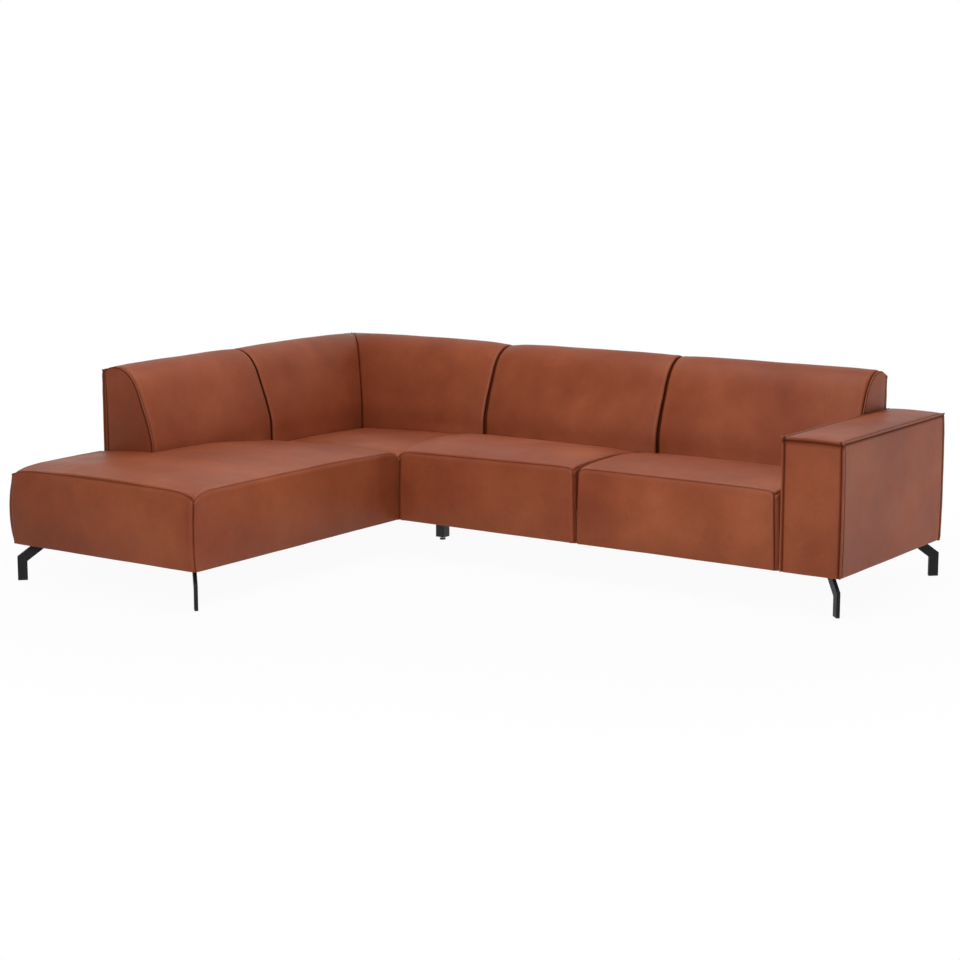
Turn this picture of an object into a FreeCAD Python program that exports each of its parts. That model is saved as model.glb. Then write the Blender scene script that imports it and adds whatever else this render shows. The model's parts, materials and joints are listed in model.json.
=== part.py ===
import FreeCAD, Part
import math
import os
import re

import Sketcher

# Corner sofa in two modules: on the left a wing with an open end that turns the corner, on the right
# a two-seat module with an arm. Plan coordinates start at the wing's outer front-left corner, X runs
# right along the long side and Y runs back. The finished part has its origin in the middle of its
# footprint, on the floor.

os.makedirs("parts", exist_ok=True)
doc = FreeCAD.newDocument("corner_sofa")

# Driving sizes in millimetres: name, value, what it measures
SIZES = (
    ("overall_length", "2932", "length of the long side, arm included"),
    ("overall_depth", "2137", "length of the wing, from its open end to the rear"),
    ("wing_width", "935", "width of the wing and of its module"),
    ("long_depth", "894", "depth of the long side"),
    ("middle_seat_width", "861", "width of the middle seat"),
    ("arm_width", "242", "width of the arm"),
    ("open_end_length", "504", "stretch of the wing in front of its back"),
    ("underside_height", "144", "hem of the covers above the floor"),
    ("seat_seam_height", "449", "seam along the front of the seats"),
    ("seat_corner_height", "433", "seam at the corners of the wing"),
    ("seat_crown_height", "474", "highest line of the seats"),
    ("seat_rear_height", "416", "seats where they meet the backs"),
    ("seat_crown_depth", "270", "highest line of the seats, from their front"),
    ("seat_draw_in", "9", "seats drawn down at the seams between them"),
    ("seat_slope", "14", "fall of the seats from the open end to the corner"),
    ("seat_end_droop", "6", "seams of the wing's seat drawn down near its open end"),
    ("seat_inner_fall", "4", "seam of the wing's inner side below the seam of its outer side"),
    ("arm_height", "648", "seams along the top of the arm"),
    ("arm_crown", "9", "crown of the top of the arm"),
    ("back_seam_height", "781", "seams at the top of the backs"),
    ("back_crown", "22", "crown of the tops of the backs"),
    ("back_rise", "8", "rise of the tops of the backs towards the arm"),
    ("back_top_depth", "110", "depth of the flat top of a back"),
    ("back_top_fall", "3", "fall of the flat top of a back to its shoulder"),
    ("back_shoulder_depth", "192", "depth of a back below its rounded shoulder"),
    ("back_shoulder_height", "700", "lower end of the rounded shoulder"),
    ("back_foot_depth", "267", "depth of a back just above the seat, at its seams"),
    ("back_foot_swell", "28", "swell of the foot of a back"),
    ("back_foot_height", "460", "where the face of a back meets the seat"),
    ("back_depth", "300", "depth of a back behind the seat"),
    ("back_fullness", "12", "swell of the face of a back"),
    ("back_face_round", "14", "rounding of the face of a back where it is drawn in"),
    ("side_bulge", "20", "swell of the wing's outer side"),
    ("front_bulge", "18", "swell of the front borders"),
    ("inner_bulge", "14", "swell of the wing's inner side"),
    ("arm_bulge", "8", "swell of the arm's borders"),
    ("rear_bulge", "8", "swell of the outer panels"),
    ("draw_in_length", "60", "stretch over which a border draws in at its ends"),
    ("cover_thickness", "18", "leather, wadding and lining of a cover"),
    ("border_thickness", "15", "thickness of the sewn-in borders"),
    ("end_panel_thickness", "12", "thickness of the end panels of the backs"),
    ("edge_round", "4", "borders drawn in at their sewn ends"),
    ("soft_gap", "0.3", "room between a soft piece and its neighbour"),
    ("seam_gap", "1.5", "half of the gap between two seats or backs"),
    ("arm_gap", "4", "gap between the right seat and the arm"),
    ("deck_height", "270", "top of the base rails"),
    ("rail_lift", "4", "base rails above the hem"),
    ("rail_thickness", "25", "thickness of the base rails"),
    ("foam_top_height", "385", "top of the foam slabs"),
    ("board_thickness", "18", "thickness of the back and arm boards"),
    ("back_top_padding", "81", "padding over the rails on the back boards"),
    ("top_rail_height", "40", "height of the rails on the back boards"),
    ("top_rail_depth", "48", "depth of the rails on the back boards"),
    ("window_width", "200", "windows in the back boards"),
    ("window_height", "250", "windows in the back boards"),
    ("window_sill", "60", "board below its windows"),
    ("strap_width", "60", "elastic webbing"),
    ("strap_thickness", "2", "elastic webbing"),
    ("strap_pitch", "115", "distance between two seat straps"),
    ("strap_lap", "3", "straps short of the outer edge of their rails"),
    ("back_strap_length", "300", "straps over the windows of the back boards"),
    ("leg_bar_width", "38", "flat bar of a leg, seen on its broad side"),
    ("leg_bar_thickness", "14", "flat bar of a leg, seen on its edge"),
    ("leg_knee_height", "95", "outer corner of the knee"),
    ("leg_slope_run", "4", "slope above the knee: run"),
    ("leg_slope_rise", "3", "slope above the knee: rise"),
    ("leg_bend_radius", "3", "rounding of the knee"),
    ("leg_inset", "4", "foot from the corner of the cover, along the diagonal"),
    ("leg_plate_rim", "15", "mounting plate beyond the foot of the bar"),
    ("leg_plate_width", "50", "mounting plate across the diagonal"),
    ("leg_plate_thickness", "4", "mounting plate"),
    ("leg_cap_height", "4", "plastic floor cap of a leg"),
    ("leg_block_size", "70", "timber blocks that take the bolts, in plan"),
    ("leg_block_height", "60", "timber blocks that take the bolts"),
    ("bolt_spread", "32", "distance between the two bolts of a leg"),
    ("bolt_radius", "3", "shank of a leg bolt"),
    ("bolt_length", "26", "shank of a leg bolt"),
    ("bolt_head_radius", "6.5", "hexagon head of a leg bolt, over its corners"),
    ("bolt_head_height", "3.5", "head of a leg bolt"),
    ("bolt_play", "0.25", "radial room of a bolt in its holes"),
    ("block_size", "43", "support block, square"),
    ("block_bottom_height", "13.5", "underside of the support block"),
    ("support_from_front", "357", "support foot behind the front of the long side"),
    ("support_from_rear", "62", "hidden support feet in front of the rear"),
    ("stem_radius", "4", "threaded stem of a levelling glide"),
    ("stem_length", "44", "threaded stem of a levelling glide"),
    ("stem_play", "0.05", "radial room of the stem in its insert"),
    ("stem_hex_height", "3", "hexagon at the foot of the stem"),
    ("stem_hex_width", "13", "hexagon at the foot of the stem, across flats"),
    ("glide_radius", "12.5", "pad of a levelling glide"),
    ("glide_height", "6", "pad of a levelling glide"),
    ("glide_travel_up", "4", "travel of the glide back into the block"),
    ("glide_travel_down", "12", "travel of the glide out of the block"),
    ("block_chamfer", "2", "edges of the support block"),
    ("socket_depth", "3", "foot of the stem in its pad"),
    ("connector_width", "50", "connector plates between the modules"),
    ("connector_thickness", "3", "connector plates between the modules"),
    ("connector_drop", "6", "hook below the hem"),
    ("connector_reach", "40", "connector plates under their rails"),
    ("connector_from_front", "150", "front connector behind the front of the long side"),
    ("connector_from_rear", "180", "rear connector in front of the rear"),
    ("dust_cover_thickness", "1", "cloth on the underside"),
)

sheet = doc.addObject("Spreadsheet::Sheet", "dims")
for row, (alias, value, meaning) in enumerate(SIZES, start=1):
    sheet.set(f"A{row}", alias)
    sheet.set(f"B{row}", value)
    sheet.set(f"C{row}", meaning)
    sheet.setAlias(f"B{row}", alias)
doc.recompute()


class Sizes:
    """The sheet's values, read by name."""

    def __getattr__(self, alias):
        return float(sheet.get(alias))


size = Sizes()

# Places worked out from the sizes, in plan coordinates. A cut runs past the face that it leaves.
FRONT_OF_LONG_SIDE = "(overall_depth - long_depth)"
SEAT_SPLIT = "(wing_width + middle_seat_width)"
ARM_FACE = "(overall_length - arm_width)"
CENTRE_X = "(overall_length + arm_bulge - side_bulge) / 2"
CENTRE_Y = "(overall_depth + rear_bulge - front_bulge) / 2"

front_of_long_side = size.overall_depth - size.long_depth
seat_split = size.wing_width + size.middle_seat_width
arm_face = size.overall_length - size.arm_width
centre_x = (size.overall_length + size.arm_bulge - size.side_bulge) / 2
centre_y = (size.overall_depth + size.rear_bulge - size.front_bulge) / 2
rail_bottom = size.underside_height + size.rail_lift
board_top = size.back_seam_height - size.back_top_padding - size.top_rail_height
soft_bottom = size.deck_height + size.strap_thickness + size.soft_gap
inside = size.cover_thickness + size.soft_gap
back_line = size.overall_depth - size.back_depth
past_face = 1.0

# How full a soft piece is at its sewn ends, a little way in, and further in
AT_SEAM = 0.04
NEAR_SEAM = 0.58
PAST_SEAM = 0.93
PAST_SHARE = 2.5

# How much of their crown the tops of the backs keep at a sewn end, and in the mitre of the corner
TOP_AT_SEAM = 0.7
TOP_AT_MITRE = 0.25

nodes = []


def ref(words):
    """An expression of the sheet's names, as the document writes it."""
    return re.sub(r"\b[a-z_]+\b(?!\()", r"dims.\g<0>", words)


def publish(item, label):
    item.Label = label
    nodes.append(item)
    return item


def place(item, x, y, z):
    """Binds an object's place to the sheet, from plan coordinates."""
    item.setExpression("Placement.Base.x", ref(f"{x} - {CENTRE_X}"))
    item.setExpression("Placement.Base.y", ref(f"{y} - {CENTRE_Y}"))
    item.setExpression("Placement.Base.z", ref(z))


def block(label, x, y, z):
    """A rectangular piece between two places on each axis."""
    item = doc.addObject("Part::Box", label)
    item.setExpression("Length", ref(f"({x[1]}) - ({x[0]})"))
    item.setExpression("Width", ref(f"({y[1]}) - ({y[0]})"))
    item.setExpression("Height", ref(f"({z[1]}) - ({z[0]})"))
    place(item, x[0], y[0], z[0])
    return item


def rail(label, x, y):
    """A base rail, from above the hem to the deck."""
    return block(label, x, y, ("underside_height + rail_lift", "deck_height"))


def group(label, members):
    item = doc.addObject("Part::Compound", label)
    item.Links = members
    return publish(item, label)


def shaped(label, form):
    """A piece made in plan coordinates by Part's own functions."""
    item = doc.addObject("Part::Feature", label)
    item.Shape = form
    item.Placement = FreeCAD.Placement(FreeCAD.Vector(-centre_x, -centre_y, 0), FreeCAD.Rotation())
    return publish(item, label)


def box(x, y, z):
    """A plain solid between two places on each axis, to cut or to join."""
    corner = FreeCAD.Vector(x[0], y[0], z[0])
    return Part.makeBox(x[1] - x[0], y[1] - y[0], z[1] - z[0], corner)


def closed_outline(corners):
    """Lines and arcs in turn: each corner comes with the middle of the arc that leaves it, or None."""
    edges = []
    for (start, middle), (end, _) in zip(corners, corners[1:] + corners[:1]):
        if middle is None:
            edges.append(Part.LineSegment(start, end).toShape())
        else:
            edges.append(Part.Arc(start, middle, end).toShape())
    return Part.Wire(edges)


def loft(sections):
    """A closed form through its sections, straight from each one to the next."""
    return Part.makeLoft([closed_outline(corners) for corners in sections], True, True)


def on_level_crown(low, top):
    """Half way along an arc that starts at low and is level at top."""
    run = top[0] - low[0]
    rise = top[1] - low[1]
    radius = (run * run + rise * rise) / (2 * rise)
    return (low[0] + run / 2, top[1] - radius + math.sqrt(radius * radius - run * run / 4))


# Sides of the sofa: along it, inwards from its seam plane, and up
def wing_front(along, inwards, up):
    return FreeCAD.Vector(along, inwards, up)


def long_front(along, inwards, up):
    return FreeCAD.Vector(along, front_of_long_side + inwards, up)


def left_side(along, inwards, up):
    return FreeCAD.Vector(inwards, along, up)


def rear_side(along, inwards, up):
    return FreeCAD.Vector(along, size.overall_depth - inwards, up)


def swelling(near):
    """Steps inwards from a sewn end, each with how full the piece is there."""
    return ((0.0, AT_SEAM), (near, NEAR_SEAM), (PAST_SHARE * near, PAST_SEAM))


def stations(start, end):
    """Places along a soft piece, each with how full it is there: drawn in at both ends."""
    near = min(size.draw_in_length, (end - start) / 6)
    rise = swelling(near)
    places = [(start + step, full) for step, full in rise]
    places.append(((start + end) / 2, 1.0))
    places += [(end - step, full) for step, full in reversed(rise)]
    return places


def panel(side, start, end, thickness, top, bulge, sag=0.0):
    """A padded border: flat inside, swollen outside, drawn in at its ends, its top seam sagging there."""
    low = size.underside_height
    sections = []
    for along, full in stations(start, end):
        outer = size.edge_round * (1 - full) ** 2
        high = top - sag * (1 - full)
        sections.append(
            [
                (side(along, thickness, low), None),
                (side(along, thickness, high), None),
                (side(along, outer, high), side(along, outer - bulge * full, (low + high) / 2)),
                (side(along, outer, low), None),
            ]
        )
    return loft(sections)


def seat_cover(start, end, heights):
    """A seat of the long side: swollen front border, crowned top falling to the back."""
    low = size.underside_height
    crown_depth = size.seat_crown_depth
    rear = back_line - front_of_long_side - size.soft_gap
    sections = []
    for (along, full), seam in zip(stations(start, end), heights):
        drawn = size.seat_draw_in * (1 - full)
        crown = size.seat_crown_height - 2 * drawn
        fall = size.seat_rear_height - drawn
        rising = on_level_crown((0, seam), (crown_depth, crown))
        falling = on_level_crown((rear, fall), (crown_depth, crown))
        sections.append(
            [
                (
                    long_front(along, 0, low),
                    long_front(along, -size.front_bulge * full, (low + seam) / 2),
                ),
                (long_front(along, 0, seam), long_front(along, *rising)),
                (long_front(along, crown_depth, crown), long_front(along, *falling)),
                (long_front(along, rear, fall), None),
                (long_front(along, rear, low), None),
            ]
        )
    return loft(sections)


def wing_section(y, left, middle, right, left_bulge, right_bulge, start=0.0):
    """Across the wing: hem, two swollen sides, crowned top."""
    low = size.underside_height
    width = size.wing_width
    centre = (start + width) / 2
    return [
        (FreeCAD.Vector(start, y, low), None),
        (FreeCAD.Vector(width, y, low), FreeCAD.Vector(width + right_bulge, y, (low + right) / 2)),
        (FreeCAD.Vector(width, y, right), FreeCAD.Vector(centre, y, middle)),
        (FreeCAD.Vector(start, y, left), FreeCAD.Vector(start - left_bulge, y, (low + left) / 2)),
    ]


def make_wing_seat():
    """The wing's seat: its cover goes round the foot of the back, and is open below for the frame."""
    front = size.border_thickness + size.soft_gap
    end = front_of_long_side - size.soft_gap / 2
    near = size.draw_in_length
    corner = size.seat_corner_height
    seam = size.seat_seam_height
    crown = size.seat_crown_height
    slope = size.seat_slope
    droop = size.seat_end_droop
    fall = size.seat_inner_fall
    wide = PAST_SHARE * near
    outer = size.side_bulge
    inner = size.inner_bulge
    # From the open end to the corner: the place, the left seam, the crown, the right seam, and how
    # full the outer and the inner side are there
    runs = (
        (front, corner, seam, corner, 0.6, 0.3),
        (front + near, seam - droop, crown - slope, seam - droop, 0.62, 0.62),
        (front + wide, seam, crown - fall, seam - fall, 0.9, 0.9),
        (0.45 * end, seam, crown, seam - fall, 1.0, 1.0),
        (0.7 * end, seam - slope, crown - slope / 2, seam - droop, 0.95, 0.95),
        (end - wide, seam - 2 * slope, seam - slope / 2, corner + fall, 0.8, 0.75),
        (end - near, seam - 3 * slope, seam - slope, corner, 0.6, 0.3),
        (end, corner - 3 * slope, corner - slope, corner, 0.4, AT_SEAM),
    )
    sections = []
    for y, left, middle, right, outward, inward in runs:
        sections.append(wing_section(y, left, middle, right, outward * outer, inward * inner))
    form = loft(sections)
    wall = size.cover_thickness
    across = (wall, size.wing_width - wall)
    back_room = box(
        (-size.side_bulge - wall, size.back_depth + size.soft_gap),
        (size.open_end_length - size.soft_gap, front_of_long_side + wall),
        (0, size.back_seam_height),
    )
    form = form.cut(box(across, (0, front_of_long_side + wall), (0, soft_bottom)))
    form = form.cut(box(across, (0, end - wall), (size.deck_height, size.foam_top_height)))
    shaped("wing_seat_cover", form.cut(back_room))

    front_edge = panel(
        wing_front,
        0,
        size.wing_width,
        size.border_thickness,
        (corner + seam) / 2 + fall,
        size.front_bulge,
        size.seat_slope,
    )
    shaped("wing_front_border", front_edge)


def make_corner_seat():
    start = size.back_depth + size.soft_gap
    front = front_of_long_side + size.soft_gap / 2
    rear = back_line - size.soft_gap
    near = size.draw_in_length
    corner = size.seat_corner_height
    fall = size.seat_rear_height
    draw = size.seat_draw_in
    rise = size.seat_inner_fall
    flat = size.soft_gap / 2
    form = loft(
        [
            wing_section(front, fall - 2 * draw, corner - draw, corner - draw, flat, flat, start),
            wing_section(front + near, fall - draw, corner + rise, corner, flat, flat, start),
            wing_section((front + rear) / 2, fall - draw, corner, corner + rise / 2, flat, flat, start),
            wing_section(rear, fall - 2 * draw, fall - draw / 2, fall, flat, flat, start),
        ]
    )
    wall = size.cover_thickness
    far = size.wing_width - wall
    foam_levels = (size.deck_height, size.foam_top_height)
    form = form.cut(box((0, far), (front - wall, rear + wall), (0, soft_bottom)))
    form = form.cut(box((start + wall, far), (front + wall, rear - wall), foam_levels))
    shaped("corner_seat_cover", form)


def make_long_seats():
    corner = size.seat_corner_height
    seam = size.seat_seam_height
    # Heights of the front seam at the stations: it rises along the middle seat, and is level
    # along the right seat until it is drawn down beside the arm
    rising = [corner + (seam - corner) * share for share in (0.0, 0.07, 0.2, 0.5, 0.82, 0.93, 1.0)]
    droop = size.seat_end_droop
    level = [seam - droop * share for share in (0.0, 0.0, 0.0, 0.0, 0.0, 0.15, 0.5)]
    first = size.wing_width + size.seam_gap
    last = arm_face - size.arm_gap
    split_left = seat_split - size.seam_gap
    split_right = seat_split + size.seam_gap
    wall = size.cover_thickness
    rear = back_line - wall
    for label, start, end, heights, side_wall in (
        ("middle_seat_cover", first, split_left, rising, wall),
        ("right_seat_cover", split_right, last, level, -past_face),
    ):
        form = seat_cover(start, end, heights)
        under = box(
            (start + side_wall, end + past_face),
            (front_of_long_side + wall, size.overall_depth),
            (0, soft_bottom),
        )
        foam_room = box(
            (start + wall, end - wall),
            (front_of_long_side + wall, rear),
            (size.deck_height, size.foam_top_height),
        )
        shaped(label, form.cut(under).cut(foam_room))


def make_foam():
    """Foam slabs on the webbing, a little under the covers."""
    gap = size.soft_gap
    wall = size.cover_thickness
    levels = (soft_bottom, size.foam_top_height - gap)
    wing = box(
        (wall + gap, size.wing_width - wall - gap),
        (size.border_thickness + 2 * gap, front_of_long_side - wall - 2 * gap),
        levels,
    )
    back_room = box(
        (0, size.back_depth + 2 * gap),
        (size.open_end_length - 2 * gap, front_of_long_side),
        (0, size.back_seam_height),
    )
    corner = box(
        (size.back_depth + wall + 2 * gap, size.wing_width - wall - gap),
        (front_of_long_side + wall + 2 * gap, back_line - wall - 2 * gap),
        levels,
    )
    shaped("corner_module_seat_foam", Part.makeCompound([wing.cut(back_room), corner]))
    slabs = []
    for start, end in (
        (size.wing_width + size.seam_gap, seat_split - size.seam_gap),
        (seat_split + size.seam_gap, arm_face - size.arm_gap),
    ):
        slabs.append(
            box(
                (start + wall + gap, end - wall - gap),
                (front_of_long_side + wall + gap, back_line - wall - gap),
                levels,
            )
        )
    shaped("long_module_seat_foam", Part.makeCompound(slabs))


def back_face(full, crest, rise=0.0):
    """Points of a back's section from its rear seam over the top and down the face, with arc middles."""
    swell = size.back_fullness * full
    top = size.back_seam_height
    rear = inside
    crown = top + size.back_crown * max(full, crest) + rise
    top_front = (size.back_top_depth + swell / 2, top - size.back_top_fall + swell / 3 + rise)
    shoulder = (size.back_shoulder_depth + swell, size.back_shoulder_height)
    foot = (size.back_foot_depth + size.back_foot_swell * full, size.back_foot_height)
    across = shoulder[0] - top_front[0]
    drop = top_front[1] - shoulder[1]
    # The middle of the rounded shoulder lies outside its chord by these shares of its two sides
    round_middle = (top_front[0] + 0.66 * across, shoulder[1] + 0.62 * drop)
    outwards = size.back_face_round * (1 - full / 3)
    face_middle = ((shoulder[0] + foot[0]) / 2 + outwards, (shoulder[1] + foot[1]) / 2)
    return (
        ((rear, top), ((rear + top_front[0]) / 2, crown)),
        (top_front, round_middle),
        (shoulder, face_middle),
        (foot, None),
    )


def back_section(side, along, full, crest=TOP_AT_SEAM, rise=0.0):
    """Across a back: its face, and behind it the room for the board and its rail."""
    board_face = inside + size.board_thickness + size.strap_thickness + size.soft_gap
    rail_face = inside + size.top_rail_depth + size.soft_gap
    room_top = board_top - size.soft_gap
    rail_top = board_top + size.top_rail_height + size.soft_gap
    behind = (
        ((size.back_depth - size.back_foot_swell * (1 - full), soft_bottom), None),
        ((board_face, soft_bottom), None),
        ((board_face, room_top), None),
        ((rail_face, room_top), None),
        ((rail_face, rail_top), None),
        ((inside, rail_top), None),
    )
    corners = []
    for point, middle in back_face(full, crest, rise) + behind:
        through = None if middle is None else side(along, *middle)
        corners.append((side(along, *point), through))
    return corners


def back_loft(side, start, end, rises=(0.0, 0.0)):
    """A straight back between two seams, its top rising from one end to the other."""
    sections = []
    for along, full in stations(start, end):
        share = (along - start) / (end - start)
        rise = rises[0] + (rises[1] - rises[0]) * share
        sections.append(back_section(side, along, full, rise=rise))
    return loft(sections)


def corner_wedge(shift):
    """Half of the room behind the mitre of the corner: right of the diagonal, or left of it."""
    reach = size.back_depth + size.draw_in_length
    rear = size.overall_depth
    slack = -size.soft_gap / 2 * shift
    low_point = FreeCAD.Vector(reach + slack, rear - reach, 0)
    high_point = FreeCAD.Vector(-reach + slack, rear + reach, 0)
    far_point = FreeCAD.Vector(shift * reach, rear + shift * reach, 0)
    outline = Part.makePolygon([low_point, high_point, far_point, low_point])
    return Part.Face(outline).extrude(FreeCAD.Vector(0, 0, size.back_seam_height + reach))


def make_backs():
    gap = size.seam_gap
    start = size.open_end_length + size.end_panel_thickness + size.soft_gap
    last = arm_face - size.end_panel_thickness - size.soft_gap
    rear = size.overall_depth
    shaped("wing_front_back_cushion", back_loft(left_side, start, front_of_long_side - gap))

    # The corner backs run into the corner and are mitred there
    near = size.draw_in_length
    reach = size.back_depth
    rise = swelling(near)
    turn = ((1.4 * reach, 1.0), (reach, 0.72), (0.6 * reach, 0.3), (inside, AT_SEAM))
    sewn = TOP_AT_SEAM
    mitred = TOP_AT_MITRE
    left_places = tuple((front_of_long_side + gap + step, full, sewn) for step, full in rise)
    left_places += tuple((rear - inwards, full, mitred) for inwards, full in turn)
    left = loft([back_section(left_side, *place) for place in left_places])
    shaped("wing_corner_back_cushion", left.cut(corner_wedge(1)))
    rear_places = tuple((inwards, full, mitred) for inwards, full in reversed(turn))
    rear_places += tuple((size.wing_width - gap - step, full, sewn) for step, full in reversed(rise))
    behind = loft([back_section(rear_side, *place) for place in rear_places])
    shaped("corner_back_cushion", behind.cut(corner_wedge(-1)))

    half_way = size.back_rise / 2
    middle = back_loft(rear_side, size.wing_width + gap, seat_split - gap, (0.0, half_way))
    shaped("middle_back_cushion", middle)
    right = back_loft(rear_side, seat_split + gap, last, (half_way, size.back_rise))
    shaped("right_back_cushion", right)


def end_panel(side, outer, inner, rise=0.0):
    """The padded end of a back: its section, drawn in a little at the outer edge."""
    foot_depth = size.back_depth - size.back_foot_swell
    foot = (((foot_depth, soft_bottom), None), ((inside, soft_bottom), None))
    sections = []
    for along, inset in ((outer, size.edge_round / 2), (inner, 0.0)):
        corners = []
        for point, middle in back_face(AT_SEAM, TOP_AT_SEAM, rise) + foot:
            lowered = inset if point[1] > soft_bottom else 0
            moved = (max(point[0] - inset, inside), point[1] - lowered)
            through = None
            if middle is not None:
                through = side(along, middle[0] - inset, middle[1] - inset)
            corners.append((side(along, *moved), through))
        sections.append(corners)
    return loft(sections)


def make_end_panels():
    start = size.open_end_length
    thick = size.end_panel_thickness
    shaped("wing_back_end_panel", end_panel(left_side, start, start + thick))
    right = end_panel(rear_side, arm_face - size.soft_gap, arm_face - thick, size.back_rise)
    shaped("right_back_end_panel", right)


def make_outer_panels():
    """Padded leather panels of the left side and the rear, from the hem to the top seam."""
    top = size.back_seam_height - size.edge_round / 2
    wall = size.cover_thickness
    gap = size.seam_gap
    bulge = size.rear_bulge
    rear = size.overall_depth - inside
    shaped("left_outer_panel", panel(left_side, size.open_end_length, rear, wall, top, bulge))
    shaped("corner_rear_panel", panel(rear_side, 0, size.wing_width - gap, wall, top, bulge))
    shaped(
        "long_rear_panel",
        panel(rear_side, size.wing_width + gap, arm_face - size.soft_gap, wall, top, bulge),
    )


def make_arm():
    low = size.underside_height
    high = size.arm_height
    middle = (arm_face + size.overall_length) / 2
    front = front_of_long_side + size.border_thickness + size.soft_gap
    rear = size.overall_depth - size.border_thickness - size.soft_gap
    sections = []
    for y, full in stations(front, rear):
        outward = size.overall_length + size.arm_bulge * max(full, 0.8)
        sections.append(
            [
                (FreeCAD.Vector(arm_face, y, low), None),
                (
                    FreeCAD.Vector(size.overall_length, y, low),
                    FreeCAD.Vector(outward, y, (low + high) / 2),
                ),
                (
                    FreeCAD.Vector(size.overall_length, y, high),
                    FreeCAD.Vector(middle, y, high + size.arm_crown),
                ),
                (FreeCAD.Vector(arm_face, y, high), None),
            ]
        )
    wall = size.cover_thickness
    room = box(
        (arm_face + wall, size.overall_length - wall),
        (front - wall, rear + wall),
        (0, high - wall),
    )
    rail_room = box(
        (arm_face - wall, arm_face + 2 * wall),
        (front_of_long_side + wall, rear + wall),
        (0, soft_bottom),
    )
    shaped("arm_cover", loft(sections).cut(room).cut(rail_room))
    for label, side in (("arm_front_border", long_front), ("arm_rear_border", rear_side)):
        form = panel(
            side,
            arm_face,
            size.overall_length,
            size.border_thickness,
            high + size.arm_crown / 2,
            size.arm_bulge,
            size.arm_crown / 2,
        )
        shaped(label, form)


def make_base_frames():
    """Timber rails: an outer ring per module, cross rails, and rails under the feet of the backs."""
    behind_ring = "overall_depth - back_depth + 2 * soft_gap"
    near = "(cover_thickness + soft_gap)"
    far_x = "(wing_width - cover_thickness - soft_gap)"
    far_y = "(overall_depth - cover_thickness - soft_gap)"
    thick = "rail_thickness"
    front = f"{FRONT_OF_LONG_SIDE} + cover_thickness + soft_gap"
    ring_start = f"{near} + {thick}"
    publish(rail("wing_front_rail", (near, far_x), (near, ring_start)), "wing_front_rail")
    publish(rail("left_side_rail", (near, ring_start), (ring_start, far_y)), "left_side_rail")
    publish(
        rail("inner_side_rail", (f"{far_x} - {thick}", far_x), (ring_start, far_y)),
        "inner_side_rail",
    )
    inner_x = (ring_start, f"{far_x} - {thick}")
    publish(rail("corner_rear_rail", inner_x, (f"{far_y} - {thick}", far_y)), "corner_rear_rail")
    cross_places = (
        f"open_end_length - {thick}",
        f"{FRONT_OF_LONG_SIDE} - {thick} / 2",
        behind_ring,
    )
    cross = []
    for number, start in enumerate(cross_places, start=1):
        cross.append(rail(f"cross_rail_{number}", inner_x, (start, f"{start} + {thick}")))
    group("corner_module_cross_rails", cross)
    seat_x = (f"back_depth - 2 * soft_gap - {thick}", "back_depth - 2 * soft_gap")
    stretches = (
        ("open_end_length", cross_places[1]),
        (f"{cross_places[1]} + {thick}", behind_ring),
    )
    short = []
    for number, (start, end) in enumerate(stretches, start=1):
        short.append(rail(f"left_seat_rail_{number}", seat_x, (start, end)))
    group("wing_back_foot_rails", short)

    left = f"wing_width + seam_gap + {near}"
    right = f"{ARM_FACE} + {near}"
    publish(rail("long_front_rail", (left, right), (front, f"{front} + {thick}")), "long_front_rail")
    publish(rail("long_rear_rail", (left, right), (f"{far_y} - {thick}", far_y)), "long_rear_rail")
    ring_y = (f"{front} + {thick}", f"{far_y} - {thick}")
    publish(rail("long_left_rail", (left, f"{left} + {thick}"), ring_y), "long_left_rail")
    middle = f"{SEAT_SPLIT} - {thick} / 2"
    publish(
        rail("long_middle_rail", (middle, f"{middle} + {thick}"), (f"{front} + {thick}", behind_ring)),
        "long_middle_rail",
    )
    foot_y = (behind_ring, f"{behind_ring} + {thick}")
    publish(rail("long_back_foot_rail", (f"{left} + {thick}", right), foot_y), "long_back_foot_rail")


def make_arm_boards():
    near = "(soft_gap + cover_thickness)"
    low = "underside_height + rail_lift"
    top = "(arm_height - cover_thickness - soft_gap)"
    inner = f"{ARM_FACE} + {near}"
    outer = f"overall_length - {near}"
    front = f"{FRONT_OF_LONG_SIDE} + border_thickness + 2 * soft_gap"
    rear = "overall_depth - border_thickness - 2 * soft_gap"
    behind = f"{front} + board_thickness"
    under = f"{top} - board_thickness"
    for label, x, y, z in (
        ("arm_inner_board", (inner, f"{inner} + board_thickness"), (behind, rear), (low, under)),
        ("arm_outer_board", (f"{outer} - board_thickness", outer), (behind, rear), (low, under)),
        ("arm_front_board", (inner, outer), (front, behind), (low, top)),
        ("arm_top_board", (inner, outer), (behind, rear), (under, top)),
    ):
        publish(block(label, x, y, z), label)


def straps_between(across, first, last, along_x):
    """Elastic straps side by side on the rails, as many as the seat takes."""
    pitch = size.strap_pitch
    width = size.strap_width
    count = max(1, int((last - first - width) // pitch) + 1)
    slack = (last - first - width - (count - 1) * pitch) / 2
    levels = (size.deck_height, size.deck_height + size.strap_thickness)
    straps = []
    for number in range(count):
        start = first + slack + number * pitch
        if along_x:
            straps.append(box(across, (start, start + width), levels))
        else:
            straps.append(box((start, start + width), across, levels))
    return straps


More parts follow.
